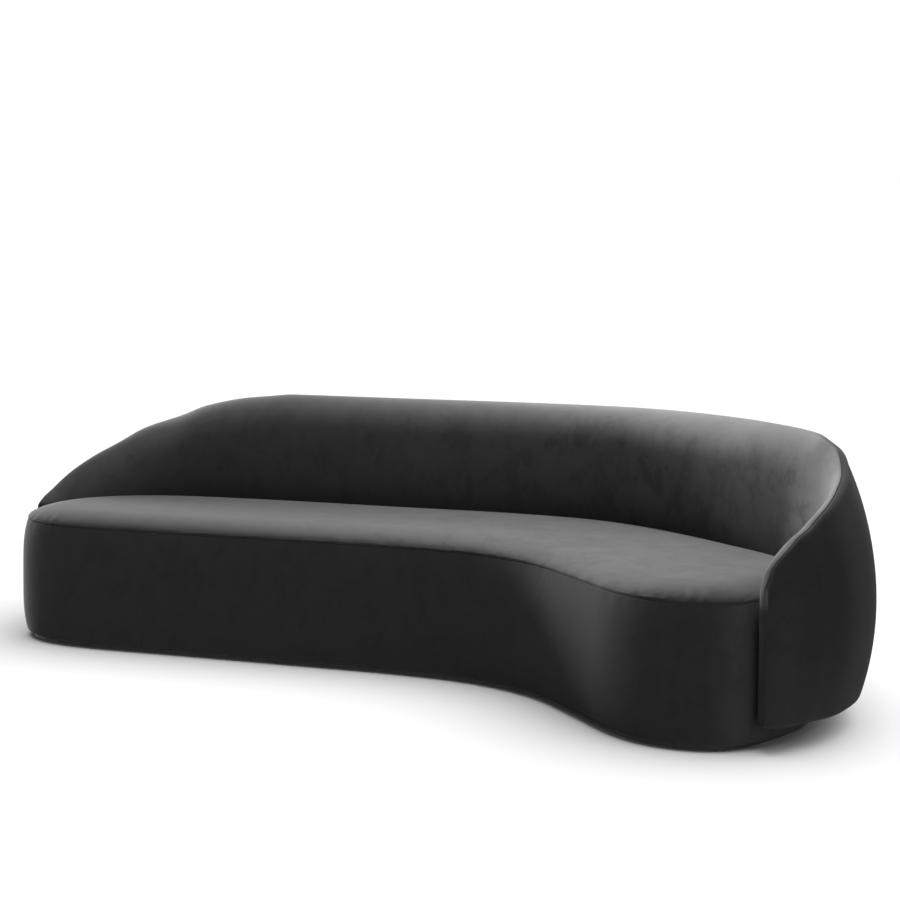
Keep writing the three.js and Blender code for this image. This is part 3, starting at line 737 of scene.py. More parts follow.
class Modeller:
    """Makes pieces from primitives, by the same steps as by hand."""

    @staticmethod
    def only(piece: bpy.types.Object) -> None:
        """Selects one piece and nothing else.

        Args:
            piece: The piece.
        """
        bpy.ops.object.select_all(action="DESELECT")
        piece.select_set(True)
        bpy.context.view_layer.objects.active = piece

    @staticmethod
    def read(parts: bpy.types.bpy_prop_collection, name: str) -> np.ndarray:
        """Reads a place or a way of each point or face of a mesh.

        Args:
            parts: The mesh's points or faces.
            name: What is read: co, center or normal.

        Returns:
            Three numbers for each part.
        """
        flat = np.empty(len(parts) * 3)
        parts.foreach_get(name, flat)
        return flat.reshape(-1, 3)

    @classmethod
    def sheet(cls, name: str, places: np.ndarray) -> bpy.types.Object:
        """Adds a grid and draws it out to the given places.

        Args:
            name: The piece's name.
            places: An array of rows by columns by three coordinates.

        Returns:
            The piece.
        """
        rows, columns = places.shape[:2]
        bpy.ops.object.select_all(action="DESELECT")
        bpy.ops.mesh.primitive_grid_add(x_subdivisions=columns - 1, y_subdivisions=rows - 1, size=2)
        piece = bpy.context.object
        piece.name = piece.data.name = name
        grid = (cls.read(piece.data.vertices, "co") + 1) / 2
        column = np.rint(grid[:, 0] * (columns - 1)).astype(int)
        row = np.rint(grid[:, 1] * (rows - 1)).astype(int)
        piece.data.vertices.foreach_set("co", places[row, column].ravel())
        piece.data.update()
        return piece

    @classmethod
    def edit(cls, piece: bpy.types.Object, *steps: Callable[[], object]) -> None:
        """Runs edit-mode steps on all of a piece.

        Args:
            piece: The piece.
            steps: What to do, in order, with everything selected.
        """
        cls.only(piece)
        bpy.ops.object.mode_set(mode="EDIT")
        bpy.ops.mesh.select_all(action="SELECT")
        for step in steps:
            step()
        bpy.ops.object.mode_set(mode="OBJECT")

    @classmethod
    def ring(cls, name: str, places: np.ndarray) -> bpy.types.Object:
        """Adds a sheet whose last column meets its first, and welds what lies together.

        Args:
            name: The piece's name.
            places: An array of rows by columns by three coordinates.

        Returns:
            The piece.
        """
        piece = cls.sheet(name, np.concatenate([places, places[:, :1]], 1))
        cls.weld(piece)
        return piece

    @classmethod
    def weld(cls, piece: bpy.types.Object) -> None:
        """Merges points that lie together."""
        cls.edit(piece, lambda: bpy.ops.mesh.remove_doubles(threshold=WELD))

    @classmethod
    def recalculate(cls, piece: bpy.types.Object) -> None:
        """Turns the faces of a closed piece outward."""
        cls.edit(piece, lambda: bpy.ops.mesh.normals_make_consistent(inside=False))

    @classmethod
    def cap(cls, piece: bpy.types.Object) -> None:
        """Closes open ends with a face each, and turns all faces outward.

        Args:
            piece: The piece.
        """
        cls.edit(
            piece,
            lambda: bpy.ops.mesh.select_mode(type="EDGE"),
            lambda: bpy.ops.mesh.select_all(action="DESELECT"),
            lambda: bpy.ops.mesh.select_non_manifold(extend=False),
            bpy.ops.mesh.edge_face_add,
            lambda: bpy.ops.mesh.select_all(action="SELECT"),
            lambda: bpy.ops.mesh.normals_make_consistent(inside=False),
        )

    @classmethod
    def away(cls, piece: bpy.types.Object, seam: SeamLine, sign: float = 1.0) -> None:
        """Turns an upright sheet's faces away from the block, or towards it.

        Args:
            piece: The piece.
            seam: The line round the block.
            sign: 1 for away, -1 for towards.
        """
        normals = seam.nearest(cls.read(piece.data.polygons, "center")[:, :2])[1]
        cls.outward(piece, sign * np.column_stack([normals, np.zeros(len(normals))]))

    @classmethod
    def outward(cls, piece: bpy.types.Object, way: np.ndarray) -> None:
        """Turns the faces round if they mostly point against the given ways.

        Args:
            piece: The piece.
            way: The outward way, one for all faces or one for each.
        """
        if (cls.read(piece.data.polygons, "normal") * way).sum() < 0:
            cls.edit(piece, bpy.ops.mesh.flip_normals)

    @classmethod
    def finish(cls, piece: bpy.types.Object, kind: str, **values: object) -> None:
        """Adds a modifier and applies it.

        Args:
            piece: The piece.
            kind: The modifier's type.
            values: The modifier's settings.
        """
        cls.only(piece)
        modifier = piece.modifiers.new(kind.lower(), kind)
        for name, value in values.items():
            setattr(modifier, name, value)
        bpy.ops.object.modifier_apply(modifier=modifier.name)

    @classmethod
    def pile(cls, piece: bpy.types.Object, **layers: Values) -> None:
        """Stores values at each point of a velvet piece: painted light and shade, and how unevenly
        its pile is brushed.

        Args:
            piece: The piece.
            layers: For painted light and shade, a factor on the colour (1 is plain), and for
                brushed, how unevenly (1 is most), each from places in space.
        """
        places = cls.read(piece.data.vertices, "co")
        for name, values in layers.items():
            layer = piece.data.attributes.new(name, "FLOAT", "POINT")
            layer.data.foreach_set("value", values(places).astype(np.float32))

    @classmethod
    def thicken(cls, piece: bpy.types.Object, cloth: float) -> None:
        """Gives a velvet sheet its thickness inward, and rounds it once."""
        cls.finish(piece, "SOLIDIFY", thickness=cloth, offset=-1.0)
        cls.finish(piece, "SUBSURF", levels=1, render_levels=1)

    @classmethod
    def smooth(cls, piece: bpy.types.Object) -> None:
        """Shades a piece smooth, but for its sharp edges."""
        cls.only(piece)
        bpy.ops.object.shade_smooth_by_angle(angle=SHARP)


def ripple(line: np.ndarray, seed: int) -> np.ndarray:
    """A gentle, irregular wave along a line, from about -1 to 1.

    Args:
        line: The line's points in the plan.
        seed: Chooses the sine waves that are added up.

    Returns:
        The wave's height at each point.
    """
    waves, shortest, longest = 24, 0.028, 0.16
    where, turn = lengths_along(line), 2 * math.pi
    dice = np.random.default_rng(seed)
    lengths = np.exp(dice.uniform(math.log(shortest), math.log(longest), waves))
    phases = dice.uniform(0, turn, waves)
    total = sum(np.sin(turn * where / l + p) for l, p in zip(lengths, phases))
    return total / math.sqrt(waves / 2) / 2


@dataclass(frozen=True)
class Gathers:
    """Shallow gathers beside a seam: how high, how near they start and how far they fade."""

    height: float
    start: float
    fade: float
    seed: int

    def beside(self, line: np.ndarray, distances: np.ndarray) -> np.ndarray:
        """The gathers along a line.

        Args:
            line: The line's points in the plan.
            distances: How far each row lies from the seam.

        Returns:
            Their height, rows by points.
        """
        share = np.exp(-distances / self.fade) * np.clip(distances / self.start, 0, 1)
        return share[:, None] * (ripple(line, self.seed) * self.height)[None]


# Sub-assemblies


@dataclass
class Upholstery:
    """A base for the sub-assemblies: soft pieces of their own over a frame that is carried over."""

    seam: SeamLine
    finishes: Finishes
    cloth: float = 0.0025
    foot_radius: float = 0.012

    def placed(
        self, piece: bpy.types.Object, slot: Slot, node: str, fill: float = 1.0
    ) -> bpy.types.Object:
        """Finishes a padded piece and sets it in the place of its solid.

        Args:
            piece: The piece.
            slot: The finish that it gets.
            node: The solid that it stands for.
            fill: How full it is; not used.

        Returns:
            The piece.
        """
        Modeller.smooth(piece)
        self.finishes.give(piece, slot)
        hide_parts(node)
        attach(piece, "root")
        LOG.info("%s: %d faces", piece.name, len(piece.data.polygons))
        return piece

    def dress_frame(self, slots: dict[str, Slot]) -> None:
        """Gives the frame its finishes.

        Args:
            slots: A slot for each beginning of the solids' names.
        """
        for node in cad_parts:
            for start, slot in slots.items():
                if node.startswith(start):
                    self.finishes.repaint(node, slot)


@dataclass
class SeatBlock(Upholstery):
    """The seat block: a crowned velvet top sewn to a padded wall, over foam and a timber frame.

    The lip is where the wall's velvet turns into the seam, as offsets from the seam line and
    depths under it. The tables of colour factors and of brushing go by X.
    """

    seam_height: float = 0.397
    crown_rise: float = 0.042
    crown_run: float = 0.140
    bulge: float = 0.017
    flare: float = 0.008
    hem_level: float = 0.0163
    hem_turn: float = 0.004
    hem_width: float = 0.030
    gap: float = 0.0003
    groove_depth: float = 0.007
    groove_roll: float = 0.004
    slack: float = 0.0005
    wall_foam: float = 0.018
    wall_foam_drop: float = 0.003
    wall_slack: float = 0.0012
    topper_edge: float = 0.027
    topper_inset: float = 0.010
    topper_slack: float = 0.0015
    core_depth: float = 0.090
    core_slack: float = 0.0013
    board_bottom: float = 0.0191
    columns: int = 260
    spine_hold: float = 0.13
    deepest_share: float = 0.9
    inner_rings: int = 11
    inner_edge: float = 0.2
    top_gathers: Gathers = Gathers(0.0022, 0.006, 0.028, 3)
    wall_gathers: Gathers = Gathers(0.0011, 0.004, 0.020, 5)
    top_steps: tuple[float, ...] = (
        0, 0.0012, 0.003, 0.0055, 0.009, 0.014, 0.020, 0.028, 0.038, 0.050, 0.064, 0.080,
        0.098, 0.118, 0.140, 0.170,
    )
    pad_steps: tuple[float, ...] = (0, 0.004, 0.010, 0.020, 0.040, 0.070, 0.110, 0.150)
    pad_edge: tuple[float, ...] = (0.006, 0.002)
    wall_lip: Table = ((-0.004, 0.007), (-0.003, 0.0028), (-0.001, 0.0008))
    wall_steps: tuple[float, ...] = (0.0024, 0.0050, 0.009, 0.015, 0.024, 0.036, 0.052)
    wall_plain: tuple[float, float] = (0.075, 0.060)
    foot_levels: tuple[float, ...] = (0.045, 0.034, 0.0265, 0.0215, 0.0187, 0.0171)
    wall_rows: int = 12
    # Painted light and shade on the wall, by X: painted shade at the left end and in the S-curve,
    # and a painted highlight at the right-hand corner.
    wall_nap: Table = (
        (-1.31, 0.60), (-1.24, 1.0), (0.45, 1.0), (0.60, 0.62), (0.80, 0.55), (0.93, 1.0),
        (1.10, 1.0), (1.17, 1.60), (1.25, 1.45),
    )
    wall_brushed: float = 0.2
    # A colour factor for the seat top, lighter towards the right.
    top_nap: Table = ((0.3, 1.0), (0.8, 1.12))
    top_brushed: Table = ((-0.6, 0.25), (0.1, 0.6), (0.6, 0.6), (1.2, 0.4))

    def build(self) -> list[bpy.types.Object]:
        """Makes the block's soft pieces and dresses its frame.

        Returns:
            The new pieces.
        """
        wood = ("base_board", "seat_side_skin", "deck_ring", "base_rib")
        self.dress_frame(
            {
                **dict.fromkeys(wood, Slot.PLYWOOD),
                "webbing": Slot.WEBBING,
                "glide": Slot.PLASTIC,
                "plinth": Slot.PLINTH,
            }
        )
        makers = (self.top_cover, self.wall_cover, self.topper, self.core, self.wall_padding)
        return [make() for make in makers]

    def sides(self) -> tuple[np.ndarray, np.ndarray]:
        """Shares of the way round, from the left end to the right one.

        Returns:
            The shares in front, and those behind.
        """
        left, right = self.seam.left_end, self.seam.right_end
        front = self.seam.spread(left - 1, right, self.columns)
        return front, self.seam.spread(right, left, self.columns)[::-1]

    def ring(self) -> tuple[np.ndarray, np.ndarray]:
        """The seam from the left end along the front and home along the back.

        Returns:
            Its points and outward normals.
        """
        front, back = self.sides()
        return self.seam.at(np.concatenate([front, back[-2:0:-1]]))

    def spine(self) -> np.ndarray:
        """The seat's middle line, as the ring sees it.

        Returns:
            For each place on the ring, the point on the middle line that it faces.
        """
        front, back = (self.seam.at(side)[0] for side in self.sides())
        middles = (front + back) / 2
        k = np.concatenate([np.arange(self.columns + 1), np.arange(self.columns - 1, 0, -1)])
        held = np.clip(k, self.spine_hold * self.columns, (1 - self.spine_hold) * self.columns)
        low = np.floor(held).astype(int)
        high = np.minimum(low + 1, self.columns)
        t = (held - low)[:, None]
        return middles[low] * (1 - t) + middles[high] * t

    def crown(self, plan: np.ndarray) -> np.ndarray:
        """How far the top stands over the seam at places in the plan."""
        t = 1 - np.minimum(self.seam.nearest(plan)[0] / self.crown_run, 1)
        return self.crown_rise * np.sqrt(1 - t**2)

    def pad_rings(self, inset: float, steps: Sequence[float]) -> np.ndarray:
        """Rings of plan places from the seam in to the middle line.

        Args:
            inset: How far the outermost ring lies inside the seam.
            steps: Distances in from there of the rings near the edge.

        Returns:
            An array of rings by places by two coordinates.
        """
        points, normals = self.ring()
        points = points - normals * inset
        spine = self.spine()
        reach = np.linalg.norm(spine - points, axis=1)
        near = np.array([np.minimum(step / reach, self.deepest_share) for step in steps])
        last = near[-1]
        far = np.array([last + (1 - last) * t for t in np.linspace(0, 1, self.inner_rings + 1)[1:]])
        across = np.concatenate([near, far])[:, :, None]
        return points[None] * (1 - across) + spine[None] * across

    def top_cover(self) -> bpy.types.Object:
        """The seat's velvet top: crowned, and drawn down into the seam all round.

        Returns:
            The piece.
        """
        plan = self.pad_rings(0.0, self.top_steps)
        shape = plan.shape[:2]
        rise = self.crown(plan.reshape(-1, 2)).reshape(shape)
        edge = np.full(shape[0], self.inner_edge)
        edge[: len(self.top_steps)] = self.top_steps
        height = self.seam_height + self.gap + rise + self.top_gathers.beside(plan[0], edge)
        tucked = plan[:1] - self.ring()[1] * self.groove_roll
        depth = np.full((1, shape[1], 1), self.seam_height - self.groove_depth)
        places = np.concatenate([np.dstack([tucked, depth]), np.dstack([plan, height])])
        piece = Modeller.ring("seat_top_velvet", places)
        Modeller.outward(piece, np.array([0, 0, 1.0]))
        Modeller.thicken(piece, self.cloth)
        # The top's colour factor grows lighter towards the right.
        Modeller.pile(
            piece,
            nap=lambda at: read_off(self.top_nap, at[:, 0]),
            brushed=lambda at: read_off(self.top_brushed, at[:, 0]),
        )
        return self.placed(piece, Slot.VELVET, "seat_top_cover", fill=0.9)

    def wall_offset(self, height: float) -> float:
        """How far the wall stands out from the seam line.

        Args:
            height: The height.

        Returns:
            Its offset at that height.
        """
        t = (height - self.hem_level) / (self.seam_height - self.hem_level)
        up = max(self.foot_radius - (height - self.hem_level), 0)
        foot = self.foot_radius - math.sqrt(self.foot_radius**2 - up**2)
        return self.flare * (1 - t) + self.bulge * (1 - (2 * t - 1) ** 4) - foot

    def ring_wall(
        self, name: str, profile: np.ndarray, gathers: np.ndarray | float = 0.0
    ) -> bpy.types.Object:
        """A wall round the block.

        Args:
            name: The piece's name.
            profile: Offsets from the seam line and heights, row by row.
            gathers: How far its gathers stand out, rows by points.

        Returns:
            The piece, an open sheet with its faces turned outward.
        """
        points, normals = self.ring()
        offsets = np.repeat(profile[:, :1], len(points), 1) + gathers
        plan = points[None] + normals[None] * offsets[:, :, None]
        heights = np.repeat(profile[:, 1:], len(points), 1)[:, :, None]
        piece = Modeller.ring(name, np.dstack([plan, heights]))
        Modeller.away(piece, self.seam)
        return piece

    def wall_cover(self) -> bpy.types.Object:
        """The wall's velvet: rolled into the seam above, swollen, and turned under at the hem.

        Returns:
            The piece.
        """
        top, edge = self.seam_height - self.gap, len(self.wall_lip)
        rows = [(roll, top - depth) for roll, depth in self.wall_lip]
        upper = top - np.array(self.wall_steps)
        plain = np.linspace(top - self.wall_plain[0], self.wall_plain[1], self.wall_rows)
        for level in (*upper, *plain, *self.foot_levels, self.hem_level):
            rows.append((self.wall_offset(level), level))
        rows[edge] = (rows[edge][0] + self.slack, rows[edge][1])
        rows += [(-self.hem_turn, self.hem_level), (-self.hem_width, self.hem_level)]
        profile = np.array(rows)
        gathers = self.wall_gathers.beside(self.ring()[0], np.abs(profile[:, 1] - top))
        piece = self.ring_wall("seat_wall_velvet", profile, gathers)
        Modeller.thicken(piece, self.cloth)
        # The wall's colour factor is painted light and shade: painted shade at the left end and the
        # S-curve, a painted highlight at the right corner.
        Modeller.pile(
            piece,
            nap=lambda at: read_off(self.wall_nap, at[:, 0]),
            brushed=lambda at: np.full(len(at), self.wall_brushed),
        )
        return self.placed(piece, Slot.VELVET, "seat_side_cover", fill=0.95)

    def closed_pad(
        self, name: str, inset: float, bottom: float, tops: Values
    ) -> bpy.types.Object:
        """A pad that fills the block's outline from a flat bottom to a shaped top.

        Args:
            name: The piece's name.
            inset: How far inside the seam line it ends.
            bottom: The height of its underside.
            tops: Gives the height of its top at places in the plan.

        Returns:
            The piece.
        """
        plan = self.pad_rings(inset, self.pad_steps)[:, ::2]
        shape = plan.shape[:2]
        top = tops(plan.reshape(-1, 2)).reshape(shape)
        soft = np.zeros((shape[0], 1))
        soft[: len(self.pad_edge), 0] = self.pad_edge
        lower = np.dstack([plan, bottom + np.repeat(soft, shape[1], 1)])[::-1]
        piece = Modeller.ring(name, np.concatenate([lower, np.dstack([plan, top - soft])]))
        Modeller.recalculate(piece)
        return piece

    def topper(self) -> bpy.types.Object:
        """The soft wadding layer under the seat's velvet.

        Returns:
            The piece.
        """
        under = self.seam_height - self.cloth - self.gap
        bottom = under - self.topper_edge + self.slack
        top = under - self.topper_slack
        pad = self.closed_pad(
            "seat_wadding", self.topper_inset, bottom, lambda at: top + self.crown(at)
        )
        return self.placed(pad, Slot.TOPPER, "seat_topper", fill=0.8)

    def core(self) -> bpy.types.Object:
        """The seat's foam core, on the webbing.

        Returns:
            The piece.
        """
        top = self.seam_height - self.cloth - self.gap - self.topper_edge
        inset, bottom = self.wall_foam + self.core_slack, top - self.core_depth + self.gap
        pad = self.closed_pad(
            "seat_foam_core", inset, bottom, lambda at: np.full(len(at), top - self.slack)
        )
        return self.placed(pad, Slot.FOAM, "seat_core")

    def wall_padding(self) -> bpy.types.Object:
        """The foam between the wall's velvet and its plywood skin.

        Returns:
            The piece.
        """
        top = self.seam_height - self.cloth - self.topper_edge - self.wall_foam_drop
        bottom, inner = self.board_bottom + self.slack, -self.wall_foam
        rows = [
            (self.wall_offset(level) - self.cloth - self.wall_slack, level)
            for level in np.linspace(top, self.board_bottom + self.foot_radius, self.wall_rows)
        ]
        rows += [(inner / 2, bottom), (inner, bottom), (inner, top), rows[0]]
        piece = self.ring_wall("seat_wall_foam", np.array(rows))
        Modeller.recalculate(piece)
        return self.placed(piece, Slot.FOAM, "seat_side_foam")


@dataclass
class Back(Upholstery):
    """The padded back with its two arms: velvet inside and outside, over foam and a frame.

    The shares tables go along the back, from the right arm's end to the left one's. A hem is
    given by the most that it turns in, as a length and as a share of the room, and its height
    over the underside, and a lip by offsets from the top seam and depths under it. Tables that
    end in across, along and up go by X, Y and Z.
    """

    line_offset: float = 0.029
    lift: float = 0.078
    bend: float = 0.403
    height: float = 0.780
    tip_height: float = 0.447
    arm_depth: float = 0.157
    back_depth: float = 0.307
    arc_radius: float = 0.700
    arc_height: float = 0.335
    roll_rise: float = 0.130
    most_roll: float = 0.85
    roll_blend: float = 4.0
    arm_roll: float = 0.9
    arm_roll_end: float = 0.16
    end_radius: float = 0.030
    end_gap: float = 0.014
    straight_lift: float = 0.025
    straight_rows: int = 14
    upper_rows: int = 10
    thin_foot: float = 0.25
    seam_width: float = 0.012
    seam_turn: float = 0.0018
    band_height: float = 0.026
    band_drop: float = 0.0002
    inside_foam: float = 0.029
    outside_padding: float = 0.0112
    lining_slack: float = 0.0008
    lining_share: float = 0.33
    lining_drop: float = 0.002
    rail_share: float = 0.37
    rail_slack: float = 0.001
    foam_slack: float = 0.0012
    foam_drop: float = 0.012
    foam_lift: float = 0.006
    foam_least: float = 0.004
    foam_share: float = 0.3
    foam_rows: int = 15
    dust_cloth_sag: float = 0.0032
    dust_cloth_lift: float = 0.0009
    dust_cloth_rows: int = 9
    dust_cloth_thickness: float = 0.0007
    start: float = 0.408
    stop: float = 0.9468
    crowding: float = 0.9
    frame_stations: tuple[int, int] = (56, 248)
    columns: int = 288
    roll_angles: tuple[float, ...] = (
        5, 10, 15, 20, 26, 32, 38, 44, 50, 56, 62, 68, 73, 78, 82, 85, 87.4, 88.8
    )
    inside_hem: tuple[Three, ...] = (
        (0.022, 0.3, 0.0045), (0.020, 0.27, 0.0018), (0.006, 0.12, 0.0016),
    )
    inside_foot: Table = ((0.0008, 0.0050), (0.0, 0.012))
    inside_lip: Table = ((-0.0007, 0.0006), (-0.0001, 0.0020), (0.0, 0.0050))
    outside_lip: Table = ((0.0005, 0.0050), (0.0006, 0.0020), (0.0018, 0.0006))
    band_angles: tuple[float, ...] = (18, 36, 54, 72)
    band_shares: Three = (0, 0.02, 0.05)
    wall_share: float = 0.09
    wall_count: int = 20
    outside_foot: tuple[float, ...] = (0.0075, 0.0042, 0.0022, 0.0008)
    outside_hem: tuple[Three, ...] = (
        (0.002, 0.04, 0.0002), (0.012, 0.16, 0.0014), (0.014, 0.18, 0.0045),
    )
    dust_cloth_margins: Table = ((0.010, 0.2), (0.008, 0.12))
    end_steps: Three = (0.36, 0.72, 1.0)
    end_shares: Table = (
        (0, 0.35), (0.0025, 0.5), (0.0076, 0.68), (0.0173, 0.79), (0.031, 0.9), (0.055, 1),
        (0.9, 1), (0.936, 0.91), (0.965, 0.65), (0.988, 0.42), (1, 0.3),
    )
    swell_shares: Table = (
        (0, 0), (0.055, -0.02), (0.085, -0.1), (0.115, -0.14), (0.148, -0.03), (0.198, 0.52),
        (0.24, 0.82), (0.3, 0.98), (0.36, 1), (0.44, 0.9), (0.508, 0.82), (0.645, 0.8),
        (0.784, 0.8), (0.83, 0.76), (0.865, 0.63), (0.9, 0.4), (0.936, 0.02), (1, 0),
    )
    rise_shares: Table = (
        (0, 0.02), (0.002, 0.17), (0.006, 0.27), (0.0116, 0.34), (0.0193, 0.405), (0.031, 0.46),
        (0.05, 0.565), (0.081, 0.695), (0.112, 0.82), (0.14, 0.94), (0.171, 0.995), (0.2, 1),
        (0.761, 1), (0.784, 0.976), (0.815, 0.94), (0.8515, 0.85), (0.8746, 0.735),
        (0.9054, 0.602), (0.9228, 0.478), (0.9439, 0.335), (0.9632, 0.19), (0.9825, 0.02),
        (0.992, -0.04), (1, -0.1),
    )
    arc_shares: Table = (
        (0, 0.1), (0.0076, 0.55), (0.02, 0.8), (0.04, 1), (0.08, 0.91), (0.107, 0.82),
        (0.137, 0.72), (0.171, 0.84), (0.21, 0.95), (0.26, 1), (0.95, 1), (0.985, 0.7), (1, 0.1),
    )
    # Painted light and shade on the inside, by height: painted shade low down and painted light
    # over the top roll.
    inside_nap_up: Table = (
        (0.38, 0.50), (0.45, 0.65), (0.50, 0.85), (0.60, 1.20), (0.70, 1.58), (0.74, 1.60),
        (0.78, 1.42),
    )
    # Painted light on the right arm's inside: lighter all over, and most above and past the bend,
    # where light over the back falls; the bend settings place it.
    arm_nap: float = 1.15
    arm_nap_up: Table = ((0.50, 3.0), (0.60, 2.8), (0.70, 1.9), (0.78, 1.6))
    arm_across: Table = ((0.75, 0.0), (1.20, 1.0))
    arm_along: Table = ((-0.62, 0.0), (-0.32, 1.0), (0.0, 1.0), (0.05, 0.0))
    arm_bend_place: float = 1.15
    arm_bend_run: float = 0.075
    arm_bend_lean: float = 0.06
    arm_bend_level: float = 0.6
    # Painted light and shade on the outside: darker at mid-height, painted shade low on its round
    # right side, and a painted highlight at the arm's nose.
    outside_nap_up: Table = (
        (0.1, 0.95), (0.4, 0.80), (0.55, 0.70), (0.70, 0.80), (0.78, 1.0),
    )
    outside_nap_across: Table = (
        (1.20, 1.03), (1.30, 0.95), (1.38, 0.70), (1.44, 0.55), (1.48, 0.65),
    )
    turned_up: Table = ((0.50, 1.0), (0.66, 0.0))
    nose_nap_along: Table = ((-0.72, 1.4), (-0.69, 1.0))
    brushed_across: Table = ((-0.6, 0.35), (0.2, 0.55), (0.7, 1.0), (1.2, 0.9), (1.35, 0.3))
    brushed_up: Table = ((0.38, 0.6), (0.48, 1.0), (0.70, 1.0), (0.77, 0.15))
    outside_brushed: float = 0.25
    points: np.ndarray = field(init=False)
    normals: np.ndarray = field(init=False)
    depths: np.ndarray = field(init=False)
    tops: np.ndarray = field(init=False)
    arcs: np.ndarray = field(init=False)
    lifts: np.ndarray = field(init=False)
    lengths: np.ndarray = field(init=False)
    rolls: np.ndarray = field(init=False)

    def __post_init__(self) -> None:
        """Sets out the stations along the back, closer together at the arm ends."""
        t = np.linspace(0, 1, self.columns + 1)
        along = t - self.crowding * np.sin(2 * math.pi * t) / (2 * math.pi)
        self.points, self.normals = self.seam.at(self.start + along * (self.stop - self.start))
        self.depths = self.arm_depth * Curve(self.end_shares).at(along)
        self.depths += (self.back_depth - self.arm_depth) * Curve(self.swell_shares).at(along)
        rises = Curve(self.rise_shares).at(along)
        self.tops = self.tip_height + (self.height - self.tip_height) * rises
        self.arcs = Curve(self.arc_shares).at(along)
        self.lengths = lengths_along(self.points)
        ends = np.minimum(self.lengths, self.lengths[-1] - self.lengths)
        self.lifts = self.round_fall(ends, self.end_radius)
        rise = self.tops - self.bend
        least = (1 / self.most_roll) ** self.roll_blend
        arm = np.clip(1 - along / self.arm_roll_end, 0, 1)
        fullest = self.roll_rise * (1 + self.arm_roll * arm)
        self.rolls = rise / (least + (rise / fullest) ** self.roll_blend) ** (1 / self.roll_blend)

    def build(self) -> list[bpy.types.Object]:
        """Makes the back's soft pieces and dresses its frame.

        Returns:
            The new pieces.
        """
        pieces = [
            self.cover("back_inside_velvet", Side.INSIDE, "back_inside_cover"),
            self.cover("back_outside_velvet", Side.OUTSIDE, "back_outside_cover"),
            self.dust_cloth(),
        ]
        wood = ("rib", "inner_skin", "outer_skin", "bottom_rail", "top_rail")
        self.dress_frame(
            {
                **{f"back_{part}": Slot.PLYWOOD for part in wood},
                "joining_bolt": Slot.STEEL,
                "joining_nut": Slot.STEEL,
                "joining_pad": Slot.RUBBER,
            }
        )
        return pieces + self.padding()

    @staticmethod
    def round_fall(distance: np.ndarray, radius: float) -> np.ndarray:
        """How far a rounded edge has fallen away at a distance from its end."""
        rest = np.maximum(radius - distance, 0)
        return radius - np.sqrt(radius**2 - rest**2)

    def outer_reach(self, height: np.ndarray) -> np.ndarray:
        """How far out the outer wall stands.

        Args:
            height: A height at every station.

        Returns:
            Its reach from the back's line at every station.
        """
        fall = self.arc_radius - np.sqrt(self.arc_radius**2 - (height - self.arc_height) ** 2)
        foot = self.round_fall(height - self.lift, self.foot_radius)
        most = (self.depths - self.lifts) * self.thin_foot
        return self.depths - self.arcs * fall - np.minimum(foot, most)

    def inside_rows(self) -> Rows:
        """The inside face, row by row from the hem to the top seam.

        Returns:
            The rows, each as reaches from the back's line and heights at every station.
        """
        lift, room = self.lifts, self.depths - self.lifts
        base, foot = np.full_like(lift, self.lift), self.tops - self.rolls
        rows = [(lift + np.minimum(most, room * t), base + up) for most, t, up in self.inside_hem]
        rows += [(lift + out, base + up) for out, up in self.inside_foot]
        levels = np.linspace(self.lift + self.straight_lift, self.bend, self.straight_rows)
        rows += [(lift, np.full_like(lift, level)) for level in levels]
        shares = np.linspace(0, 1, self.upper_rows + 1)[1:]
        rows += [(lift, self.bend + (foot - self.bend) * t) for t in shares]
        run = self.outer_reach(self.tops) - self.seam_width - lift
        for angle in np.radians(self.roll_angles):
            rows.append((lift + run * (1 - math.cos(angle)), foot + self.rolls * math.sin(angle)))
        return rows + [(lift + run + out, self.tops - down) for out, down in self.inside_lip]

    def outside_rows(self) -> Rows:
        """The outside face, row by row from the top seam over the rolled band to the hem.

        Returns:
            The rows, each as reaches from the back's line and heights at every station.
        """
        base, room = np.full_like(self.lifts, self.lift), self.depths - self.lifts
        seam = self.outer_reach(self.tops) - self.seam_width
        rows = [(seam + out, self.tops - down) for out, down in self.outside_lip]
        foot, bottom = self.tops - self.band_height, base + self.foot_radius
        turn = self.outer_reach(foot) - seam - self.seam_turn
        for angle in np.radians(self.band_angles):
            height = foot + (self.band_height - self.band_drop) * math.cos(angle)
            rows.append((seam + self.seam_turn + turn * math.sin(angle), height))
        shares = (*self.band_shares, *np.linspace(self.wall_share, 1, self.wall_count))
        heights = [foot * (1 - t) + bottom * t for t in shares]
        heights += [base + up for up in self.outside_foot]
        rows += [(self.outer_reach(height), height) for height in heights]
        edge = rows[-1][0]
        hem = [(edge - np.minimum(most, room * t), base + up) for most, t, up in self.outside_hem]
        return rows + hem

    def placed_rows(self, rows: Rows) -> np.ndarray:
        """Turns rows of reaches and heights into places in space.

        Args:
            rows: The rows.

        Returns:
            The places, rows by stations by three coordinates.
        """
        reach = np.array([row[0] for row in rows])
        height = np.array([row[1] for row in rows])
        plan = self.points[None] + self.normals[None] * (self.line_offset + reach)[:, :, None]
        return np.dstack([plan, height[:, :, None]])

    def nose(self, places: np.ndarray, other: np.ndarray) -> np.ndarray:
        """Adds columns that carry a face round each arm's end, to the seam up its middle.

        Args:
            places: The face's places, rows by stations by three.
            other: For each row, where the seam up the arm's end is, at both ends.

        Returns:
            The wider array.
        """
        first = [places[:, 0] * (1 - t) + other[:, 0] * t for t in self.end_steps[::-1]]
        last = [places[:, -1] * (1 - t) + other[:, 1] * t for t in self.end_steps]
        return np.concatenate([np.stack(first, 1), places, np.stack(last, 1)], 1)

